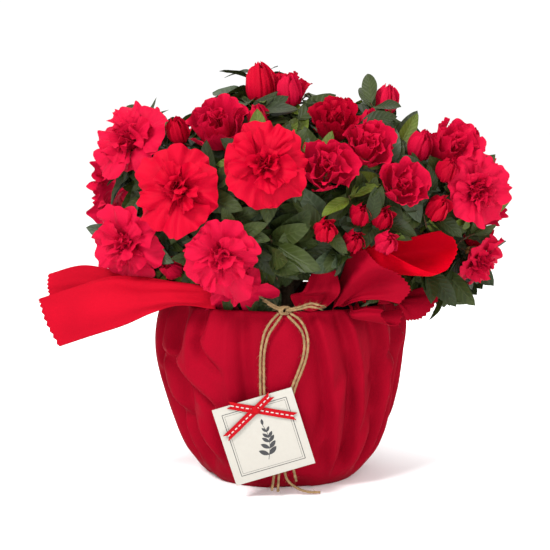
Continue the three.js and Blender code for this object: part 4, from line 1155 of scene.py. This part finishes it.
def fan_petal(path, half_angle, steps, random, ruffle, frill, tilt, cup, tip, pleat=0.0):
    """A broad petal that fans out round the flower's axis. path is its (radius, height) from base to tip as
    shares of the flower's radius. ruffle, frill and pleat are the heights of its broad waves, its small waves
    and its long folds. tilt lifts one side of it, cup lifts both, and tip rounds its corners off."""
    u, v = blade_grid(steps)
    lobes = 0.03 * (1 + np.sin(v * random.between(4, 8) + random.between(0, 6))) * u
    nibble = 0.2 * frill * (1 + np.sin(v * random.between(16, 24) + random.between(0, 6))) * u**6
    t = u * (1 - tip * np.abs(v) ** 3 * u - lobes - nibble)
    base = bezier(path, t.ravel()).reshape(*t.shape, 2)
    step = bezier(path, np.clip(t + 0.01, 0, 1.02).ravel()).reshape(*t.shape, 2) - base
    step /= np.linalg.norm(step, axis=-1)[..., None] + 1e-9
    p = [random.between(0, 2 * math.pi) for _ in range(7)]
    rim = np.maximum(u**8, np.abs(v) ** 8 * u)
    near_rim = u**3.4
    wave = ruffle * u**1.6 * np.sin(v * random.between(1.8, 3.2) + p[0])
    wave += ruffle * near_rim * np.sin(v * random.between(4.5, 7.5) + p[1] + 2 * u)
    wave += frill * near_rim * np.sin(v * random.between(9, 14) + p[2] + 4 * u + 1.5 * np.sin(3 * v + p[6]))
    wave += frill * 0.8 * rim * np.sin(v * random.between(17, 23) + p[3] - 6 * u)
    wave += pleat * np.sin(v * 9 + p[1]) * np.sin(np.pi * u) + tilt * v * u + cup * v**2 * u
    radius = base[..., 0] - step[..., 1] * wave
    height = base[..., 1] + step[..., 0] * wave
    angle = half_angle * v * (0.4 + 0.6 * np.sqrt(u)) + 0.03 * np.sin(5 * u + p[5])
    angle = angle + 0.05 * near_rim * np.sin(v * 9 + p[4])
    radius = np.maximum(radius, 0.012)
    return np.stack([radius * np.cos(angle), radius * np.sin(angle), height], -1)


def curled_petal(reach, rise, width, steps, random, crumple, roll, base):
    """A narrow inner petal that stands up and folds in on itself, with a rounded tip."""
    u, v = blade_grid(steps)
    p = [random.between(0, 2 * math.pi) for _ in range(5)]
    side = width * v * (0.3 + 0.7 * np.sin(np.pi * np.clip(u * 0.66 + 0.1, 0, 1)))
    out = reach * u**1.3 - roll * width * v**2 * u
    out += crumple * u * np.sin(v * 3 + p[0] + 3 * u) + 0.3 * crumple * u**3 * np.sin(v * 7 + p[1])
    height = base + (rise - base) * u * (1 - 0.3 * v**2 * u)
    height += 0.35 * crumple * u**2 * np.sin(v * 5 + p[2]) + 0.12 * crumple * u**4 * np.sin(v * 12 + p[3])
    side = side + 0.35 * crumple * u * np.sin(6 * u + p[4])
    return np.stack([out, side, height], -1)


def place_petal(grid, head, angle):
    """Turns a petal round its flower's axis and puts it on the flower."""
    turned = grid @ about_z(angle).T * head["radius"]
    return turned @ head["turn"].T + head["centre"]


LOW_FLOWERS = {"below": 215, "over": 40, "lowest": 186, "lowest_over": 12, "longer": 0.34, "drop": 0.3}


def hang(head, angle):
    """How far a petal at an angle round a low flower hangs: 0 to 1, and to 2.5 on the lowest."""
    down = -(head["turn"] @ vec(math.cos(angle), math.sin(angle), 0))[2]
    low = smooth((LOW_FLOWERS["below"] - head["centre"][2]) / LOW_FLOWERS["over"])
    low += 1.5 * smooth((LOW_FLOWERS["lowest"] - head["centre"][2]) / LOW_FLOWERS["lowest_over"])
    return float(low * smooth((down - 0.2) / 0.7))


OUTER_PETALS = 5
PETAL_STEPS = {"outer": (20, 40), "middle": (16, 30), "inner": (11, 18), "heart": (9, 9)}
CUP_STEPS = {"outer": (18, 26), "inner": (14, 22), "heart": (10, 11)}
BUD_PETALS = 6
BUD_STEPS = {"outer": (18, 18), "heart": (8, 8)}


def open_flower(bunch, head, random):
    """A flat double flower: three rings of broad petals that shorten inwards, and a heart of curled ones."""
    spin = random.between(0, 2 * math.pi)
    fullness = random()
    lean = 0.07 if random() < 0.5 else -0.07
    for n in range(OUTER_PETALS):
        far = random.between(0.86, 1.1)
        rim = random.between(-0.18, 0.1)
        angle = spin + n * 2 * math.pi / OUTER_PETALS + random.between(-0.14, 0.14)
        droop = hang(head, angle)
        far += LOW_FLOWERS["longer"] * droop
        rim -= LOW_FLOWERS["drop"] * droop
        path = [(0.02, -0.56), (0.14, -0.06), (0.5 * far, 0.13), (far, rim)]
        spread = 0.95 - 0.22 * droop
        frill = 0.05 / (1 + 0.6 * droop)
        grid = fan_petal(path, spread, PETAL_STEPS["outer"], random, 0.085, frill, lean, 0.0, 0.15)
        bunch.add(place_petal(grid, head, angle))
    for n in range(4 + int(1.6 * fullness)):
        far = random.between(0.58, 0.9)
        rim = random.between(0.02, 0.28)
        path = [(0.02, -0.52), (0.12, 0.0), (0.4 * far, 0.2), (far, rim)]
        angle = spin + 0.6 + n * 1.7 + random.between(-0.3, 0.3)
        grid = fan_petal(path, 0.8, PETAL_STEPS["middle"], random, 0.11, 0.055, lean, 0.0, 0.16)
        bunch.add(place_petal(grid, head, angle))
    off = vec(random.between(-0.1, 0.1), random.between(-0.1, 0.1), 0)
    for n in range(4 + int(2 * fullness)):
        far = random.between(0.24, 0.44)
        path = [(0.02, -0.4), (0.16, 0.0), (0.3 * far, 0.3), (far, random.between(0.24, 0.4))]
        angle = spin + n * GOLDEN_ANGLE + random.between(-0.3, 0.3)
        grid = fan_petal(path, 0.95, PETAL_STEPS["inner"], random, 0.14, 0.05, lean, -0.1, 0.2) + off
        bunch.add(place_petal(grid, head, angle))
    for n in range(7 + int(3 * fullness)):
        angle = n * GOLDEN_ANGLE + random.between(-0.4, 0.4)
        reach = random.between(0.02, 0.26)
        rise = random.between(0.26, 0.4)
        width = random.between(0.14, 0.22)
        roll = random.between(0.4, 1.1)
        grid = curled_petal(reach, rise, width, PETAL_STEPS["heart"], random, 0.09, roll, -0.3) + off
        bunch.add(place_petal(grid, head, angle))


def half_flower(bunch, head, random):
    """A cup of broad petals with a crumpled heart, not yet opened flat."""
    spin = random.between(0, 2 * math.pi)
    for n in range(OUTER_PETALS):
        far = random.between(0.82, 1.12)
        angle = spin + n * 2 * math.pi / OUTER_PETALS + random.between(-0.12, 0.12)
        droop = hang(head, angle)
        rim = random.between(-0.15, 0.2) - 0.4 * droop
        path = [(0.06, -1.42), (0.8, -1.1), (0.7, -0.35), (far + 0.2 * droop, rim)]
        grid = fan_petal(path, 0.86, CUP_STEPS["outer"], random, 0.1, 0.035, 0.1, 0.0, 0.14)
        bunch.add(place_petal(grid, head, angle))
    for n in range(4):
        far = random.between(0.45, 0.8)
        path = [(0.05, -1.2), (0.6, -0.8), (0.45, -0.05), (far, random.between(0.1, 0.34))]
        grid = fan_petal(path, 0.9, CUP_STEPS["inner"], random, 0.13, 0.045, 0.1, 0.0, 0.16)
        bunch.add(place_petal(grid, head, spin + (n + 0.5) * 2 * math.pi / 4))
    for n in range(5):
        rise = random.between(0.1, 0.3)
        reach = random.between(0.08, 0.34)
        grid = curled_petal(reach, rise, 0.32, CUP_STEPS["heart"], random, 0.11, 0.6, -0.5)
        bunch.add(place_petal(grid, head, n * GOLDEN_ANGLE))


def bud_flower(bunch, head, random):
    """Pleated petals furled into an urn, with their rims just parting at the tip."""
    spin = random.between(0, 2 * math.pi)
    loose = random()
    for n in range(BUD_PETALS):
        tip = (random.between(0.05, 0.16) + 0.14 * loose, random.between(0.42, 0.66) - 0.1 * loose)
        path = [(0.1, -2.0), (1.0, -1.9), (1.05, -0.5), tip]
        angle = spin + n * 2 * math.pi / BUD_PETALS + random.between(-0.1, 0.1)
        frill = 0.03 + 0.02 * loose
        grid = fan_petal(path, 0.8, BUD_STEPS["outer"], random, 0.04, frill, 0.2, -0.1, 0.22, 0.04)
        bunch.add(place_petal(grid, head, angle))
    for n in range(4):
        rise = random.between(0.34, 0.54)
        reach = random.between(0.02, 0.12)
        grid = curled_petal(reach, rise, 0.24, BUD_STEPS["heart"], random, 0.06, 0.5, -0.8)
        bunch.add(place_petal(grid, head, n * GOLDEN_ANGLE))


FLOWERS = {"open": open_flower, "half": half_flower, "bud": bud_flower}
TONES = {
    "open": ("crimson", "crimson", "rose"), "half": ("crimson", "deep", "rose"),
    "bud": ("deep", "rose", "crimson"),
}
SCALE_DEPTH = {"open": 0.62, "half": 1.42, "bud": 2.02}
SCALE_COUNT = 6


def add_scales(bunch, head, random):
    """Small pointed sepals and bud scales that clasp the foot of a flower."""
    depth = SCALE_DEPTH[head["kind"]]
    size = min(7.0, head["radius"] * 0.5) / head["radius"]
    u, v = blade_grid((6, 4))
    for n in range(SCALE_COUNT):
        side = size * 0.3 * v * np.sin(np.pi * (u * 0.85 + 0.12)) ** 0.8
        flare = random.between(0.35, 0.95)
        out = 0.05 + size * flare * np.sin(u * 1.7) - 0.12 * size * v**2
        height = -depth - 0.12 * size + size * (1 - 0.4 * flare) * u
        grid = np.stack([out, side, height], -1)
        bunch.add(place_petal(grid, head, n * 2 * math.pi / SCALE_COUNT + random()))


mass_names = [f"mass_{row[0]}" for row in MASSES]
petals = {(tone, side): Bunch() for tone in PETALS for side in ("left", "right")}
scales = Bunch()
for index, heads in enumerate(HEADS):
    random = SeededRandom(index + 5011)
    for head in heads:
        if head["kind"] == "shoot":
            continue
        tone = TONES[head["kind"]][int(random() * 3)]
        side = "left" if head["centre"][0] < CROWN_CENTRE[0] else "right"
        FLOWERS[head["kind"]](petals[tone, side], head, random)
        add_scales(scales, head, random)
for (tone, side), bunch in petals.items():
    bunch.build(f"petals_{tone}_{side}", PETALS[tone], "foliage", mass_names)
scales.build("bud_scales", SCALE, "foliage", mass_names)

# ---------------------------------------------------------------- twigs and leaves

OBSTACLES = [
    BVHTree.FromPolygons(grid.reshape(-1, 3).tolist(), grid_quads(*grid.shape[:2]).tolist())
    for grid in (wrap_grid, *tail_grids)
]
# The room that a flower takes, as shares of its radius: its middle's height and half its height.
HEAD_BODIES = {"open": (0, 1), "half": (-0.62, 0.95), "bud": (-0.75, 1.4)}
HEAD_CENTRES = np.array([head["centre"] for head in ALL_HEADS])
HEAD_TURNS = np.array([head["turn"] for head in ALL_HEADS])
HEAD_SIZES = np.array([head["radius"] for head in ALL_HEADS])
HEAD_IS_OPEN = np.array([head["kind"] == "open" for head in ALL_HEADS])
HEAD_MIDDLES, HEAD_HALVES = np.array([HEAD_BODIES[head["kind"]] for head in ALL_HEADS], dtype=float).T
CLOTH_GAP = 2.0
CROWN_LIMIT = 1.05
HANGING_LIMIT = 0.13
LEAF_GUARD = 0.86
# Boxes that no leaf may enter: before the knot, the twine and the right tails, and under the left ones.
LEAFLESS = [
    ((-20, -160, 0), (100, -86, 168)), ((-220, -160, 0), (-70, 0, 150)), ((-70, -160, 0), (-20, -60, 130)),
]


def in_flower(points):
    """Whether any of some points lies inside a flower head."""
    away = points[None] - HEAD_CENTRES[:, None]
    local = np.einsum("hij,hpi->hpj", HEAD_TURNS, away) / HEAD_SIZES[:, None, None]
    across = np.linalg.norm(local[..., :2], axis=-1)
    height = local[..., 2]
    funnel = -0.62 * np.clip(1 - across, 0, 1) ** 1.6 - 0.06
    in_open = (across < 1.0) & (height > funnel) & (height < 0.5)
    body = (across / 0.95) ** 2 + ((height - HEAD_MIDDLES[:, None]) / HEAD_HALVES[:, None]) ** 2 < 1
    return bool(np.any(np.where(HEAD_IS_OPEN[:, None], in_open, body)))


def crosses_cloth(points, start):
    """Whether points lie close to the wrap or a tail, or beyond it as seen from a start point."""
    first = Vector(start)
    for tree in OBSTACLES:
        for point in points:
            at = Vector(point)
            if tree.find_nearest(at, CLOTH_GAP)[0] is not None:
                return True
            run = at - first
            if tree.ray_cast(first, run.normalized(), run.length)[0] is not None:
                return True
    return False


def in_crown(points, limit=CROWN_LIMIT):
    """Whether points stay within a share of the crown's radii, or a little past it low down."""
    share = np.linalg.norm((points - CROWN_CENTRE) / CROWN_RADII, axis=1)
    return bool(np.all(share < np.where(points[:, 2] < HANGING["below"], limit + HANGING_LIMIT, limit)))


def guarded(points):
    """Whether any of some points lies in a ball or a box that is kept free."""
    for centre, radius in HEAD_GUARDS:
        if np.any(np.linalg.norm(points - vec(*centre), axis=1) < radius * LEAF_GUARD):
            return True
    for low, high in LEAFLESS:
        if np.any(np.all((points > vec(*low)) & (points < vec(*high)), axis=1)):
            return True
    return False


LEAF_GRID = (12, 6)
LEAF_SHAPE_COUNT = 14
# Points of a leaf of unit length that are tested for room.
LEAF_PROBE = np.array([
    (0.35, 0, -0.01), (0.6, 0.17, -0.03), (0.6, -0.17, -0.03), (0.8, 0, -0.1), (1.0, 0, -0.16),
])


def leaf_template(random):
    """A leaf of unit length along +X with its upper side to +Z: pointed, folded along its midrib."""
    u, v = blade_grid(LEAF_GRID)
    blade = np.clip((u - 0.06) / 0.94, 0, 1)
    outline = np.sin(np.pi * blade**0.95) ** 0.68 * (1 - 0.1 * blade)
    half = np.maximum(0.208 * outline, 0.012 * (1 - u) + 0.002)
    fold = random.between(0.15, 0.5)
    bend = random.between(0.08, 0.34)
    edge = 0.012 * np.sin(u * 13 + random.between(0, 6)) * v**2
    twist = random.between(-0.5, 0.5) * u
    side, lift = v * half * math.cos(fold * 0.6), np.abs(v) * half * fold + edge
    height = -bend * u**2 + lift * np.cos(twist) + side * np.sin(twist)
    sway = random.between(-0.08, 0.08) * u**2
    x = u * (1 - 0.3 * bend * u)
    return np.stack([x, side * np.cos(twist) + sway, height], -1)


template_random = SeededRandom(901)
LEAF_SHAPES = [leaf_template(template_random) for _ in range(LEAF_SHAPE_COUNT)]
leaves = {tone: Bunch() for tone in LEAVES}
twigs = Bunch()


def add_leaf(root, direction, face, length, tone, random):
    """Places a leaf if it is clear of flowers and cloth. Says whether it was placed."""
    side = np.cross(face, direction)
    if np.linalg.norm(side) < 0.05:
        return False
    side = unit(side)
    axes = np.stack([direction, side, np.cross(direction, side)], 0) * length
    probes = LEAF_PROBE @ axes + root
    if in_flower(probes) or not in_crown(probes) or guarded(probes) or crosses_cloth(probes[[1, 2, 4]], root):
        return False
    shape = LEAF_SHAPES[int(random() * len(LEAF_SHAPES))]
    leaves[tone].add(shape @ axes + root)
    return True


def pick_tone(random, sunny):
    """A leaf colour by chance, young a little more often where it faces up."""
    roll = random()
    if roll < 0.10 + 0.06 * sunny:
        return "young"
    # The grey tone dealt out here is partly painted sheen.
    if roll < 0.22:
        return "grey_sheen"
    return "mid" if roll < 0.6 else "dark"


TURNS_TRIED = 10


def add_rosette(tip, down, facing, count, size, random, droop):
    """Leaves round the end of a twig, each tried at a few turns before it is left out."""
    turn = turn_to(facing)
    start = random() * 2 * math.pi
    spray = pick_tone(random, facing[2])
    droop = droop + HANGING["droop"] * min(1, max(0, (HANGING["below"] - tip[2]) / HANGING["over"]))
    for n in range(count):
        root = tip + down * LEAF["spacing"] * (0.6 + 0.8 * n)
        full = LEAF["length"] * size * (0.8 + 0.35 * random())
        rise = random.between(0.1, 0.75)
        for attempt in range(TURNS_TRIED):
            angle = start + n * GOLDEN_ANGLE + 0.5 * attempt
            direction = turn @ vec(math.cos(angle), math.sin(angle), rise)
            direction[2] -= droop
            tone = spray if random() < 0.7 else pick_tone(random, facing[2])
            if add_leaf(root, unit(direction), facing, full * (1 - 0.04 * attempt), tone, random):
                break


def add_twig(start, end, radius, tip_radius, sag, random):
    """A thin bent limb. Returns its path."""
    share = np.linspace(0, 1, 9)
    reach = np.linalg.norm(end - start)
    middle = (start + end) / 2 + vec(random() - 0.5, random() - 0.5, random() - 0.2) * reach * sag
    path = bezier([start, middle, end], share)
    twigs.add(tube(path, radius + (tip_radius - radius) * share, 6), ring=True)
    return path


LEAVES_UNDER = {"open": 9, "half": 7, "bud": 6, "shoot": 10}
LEAF_SIZE = {"open": 0.92, "half": 0.8, "bud": 0.72, "shoot": 0.92}
SIDE_SHOOTS = {"places": (0.45, 0.75), "reach": (12, 24), "limit": 0.98, "leaves": 5, "size": 0.66}
# Sprays inside a mass, and ones that hang towards the rim: their places in degrees about the mass or, where
# they hang, on the whole crown, and as shares of the crown's radii. fork is their place on the stem.
FILLERS = {"tries": 9, "spread": 24, "rise": 22, "reach": (0.5, 0.8), "fork": (0.15, 0.8)}
SKIRT = {"tries": 9, "spread": 16, "elevation": (-44, -26), "reach": (0.62, 0.95), "fork": (0.3, 0.8)}


def stem_of(index, lead_tip):
    """The curve of a mass's stem, from its bough to the foot of its lead flower."""
    points = bough_points(index)
    ahead = unit(points[2] - points[1])
    root = points[2] + ahead * CLEARANCE
    bend = root + ahead * np.linalg.norm(CELLS[index] - root) * 0.5
    return [root - ahead, bend, CELLS[index], lead_tip]


def add_side_shoots(path, head, down, random):
    """Short leafy twigs off the side of a flower's own twig."""
    for share in SIDE_SHOOTS["places"]:
        at = path[int(share * (len(path) - 1))]
        side = unit(np.cross(down, any_way(random)))
        end = at + (side - 0.6 * down) * random.between(*SIDE_SHOOTS["reach"])
        if in_flower(end[None]) or not in_crown(end[None], SIDE_SHOOTS["limit"]):
            continue
        if crosses_cloth(end[None], at):
            continue
        add_twig(at, end, 0.8, 0.55, 0.2, random)
        facing = unit(unit(end - at) + head["facing"])
        add_rosette(end, unit(at - end), facing, SIDE_SHOOTS["leaves"], SIDE_SHOOTS["size"], random, 0.2)


def add_spray(index, at, end, count, size, droop, random):
    """A twig from a mass's stem with leaves at its end, if there is room."""
    if not in_cell(end, index) or in_flower(end[None]) or crosses_cloth(end[None], at):
        return
    add_twig(at, end, 0.9, 0.6, 0.15, random)
    add_rosette(end, unit(at - end), facing_at(end), count, size, random, droop)


def grow_mass(index, heads):
    """The stem, twigs and leaves of one mass, as in the source and then finer."""
    random = SeededRandom(index + 1011)
    azimuth, elevation = MASSES[index][1:3]
    sunk = [(HEAD_DEPTH[h["kind"]] - 0.12) * h["radius"] - 1 for h in heads]
    tips = [h["centre"] - h["facing"] * depth for h, depth in zip(heads, sunk)]
    stem_curve = stem_of(index, tips[0])
    stem_share = np.linspace(0, 1, 30)
    stem = bezier(stem_curve, stem_share)
    stem_radii = TWIG["stem"] * 0.85 + (TWIG["tip"] - TWIG["stem"] * 0.85) * stem_share
    twigs.add(rough_bark(tube(stem, stem_radii, 10), stem, 0.15, 2.0), ring=True)
    paths = [stem[18:]]
    for n in range(1, len(heads)):
        fork = TWIG["first_fork"] + (TWIG["last_fork"] - TWIG["first_fork"]) * (n - 1) / len(heads)
        start = bezier(stem_curve, [fork])[0]
        paths.append(add_twig(start, tips[n], TWIG["radius"], TWIG["tip"] * 0.8, 0.12, random))
    for path, head in zip(paths, heads):
        down = unit(path[-2] - path[-1])
        kind = head["kind"]
        droop = LEAF["droop"] + 0.25 * random()
        add_rosette(path[-1], down, head["facing"], LEAVES_UNDER[kind], LEAF_SIZE[kind], random, droop)
        add_side_shoots(path, head, down, random)
    narrowing = max(0.35, math.cos(math.radians(elevation)))
    for _ in range(FILLERS["tries"]):
        across = azimuth + random.between(-FILLERS["spread"], FILLERS["spread"]) / narrowing
        up = elevation + random.between(-FILLERS["rise"], FILLERS["rise"])
        end = crown_point(across, up, random.between(*FILLERS["reach"]))
        at = bezier(stem_curve, [random.between(*FILLERS["fork"])])[0]
        add_spray(index, at, end, 7, 0.82, 0.25, random)
    for _ in range(SKIRT["tries"]):
        across = azimuth + random.between(-SKIRT["spread"], SKIRT["spread"])
        end = crown_point(across, random.between(*SKIRT["elevation"]), random.between(*SKIRT["reach"]))
        at = bezier(stem_curve, [random.between(*SKIRT["fork"])])[0]
        if not guarded(end[None]):
            add_spray(index, at, end, 5, 0.95, 0.5, random)


for index, heads in enumerate(HEADS):
    grow_mass(index, heads)
for tone, bunch in leaves.items():
    bunch.build(f"leaves_{tone}", LEAVES[tone], "foliage", mass_names)
twigs.build("twigs", TWIG_BARK, "foliage", mass_names)

# ---------------------------------------------------------------- carried-over parts and stage

for node, material in (("pot", POT), ("tag_card", CARD)):
    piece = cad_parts[node]
    piece.data.materials.clear()
    piece.data.materials.append(material)

FLOOR_REACH = 9.0
LIGHTS_AIM = Vector((0, 0, 0.17))
WORLD_STRENGTH = 1.05

floor_corners = [(x * FLOOR_REACH, y * FLOOR_REACH, 0) for x, y in ((-1, -1), (1, -1), (1, 1), (-1, 1))]
floor_mesh = bpy.data.meshes.new("floor")
floor_mesh.from_pydata(floor_corners, [], [(0, 1, 2, 3)])
floor_mesh.materials.append(FLOOR)
add_object("floor", floor_mesh)

world = bpy.data.worlds.new("studio")
bpy.context.scene.world = world
world.use_nodes = True
world.node_tree.nodes["Background"].inputs["Color"].default_value = (1, 1, 1, 1)
world.node_tree.nodes["Background"].inputs["Strength"].default_value = WORLD_STRENGTH

# Each light: name, place, size and power.
LIGHTS = [
    ("key", (-0.85, -1.3, 1.5), 0.6, 48),
    ("fill", (1.5, -1.3, 0.7), 1.0, 15),
    ("top", (0.1, 0.5, 1.7), 1.2, 14),
    ("front", (-0.25, -2.0, 0.45), 0.8, 12),
]
for name, place, size, power in LIGHTS:
    light_data = bpy.data.lights.new(name, "AREA")
    light_data.shape = "DISK"
    light_data.size = size
    light_data.energy = power
    light = add_object(name, light_data)
    light.location = place
    light.rotation_euler = (LIGHTS_AIM - Vector(place)).to_track_quat("-Z", "Y").to_euler()

bpy.context.view_layer.update()
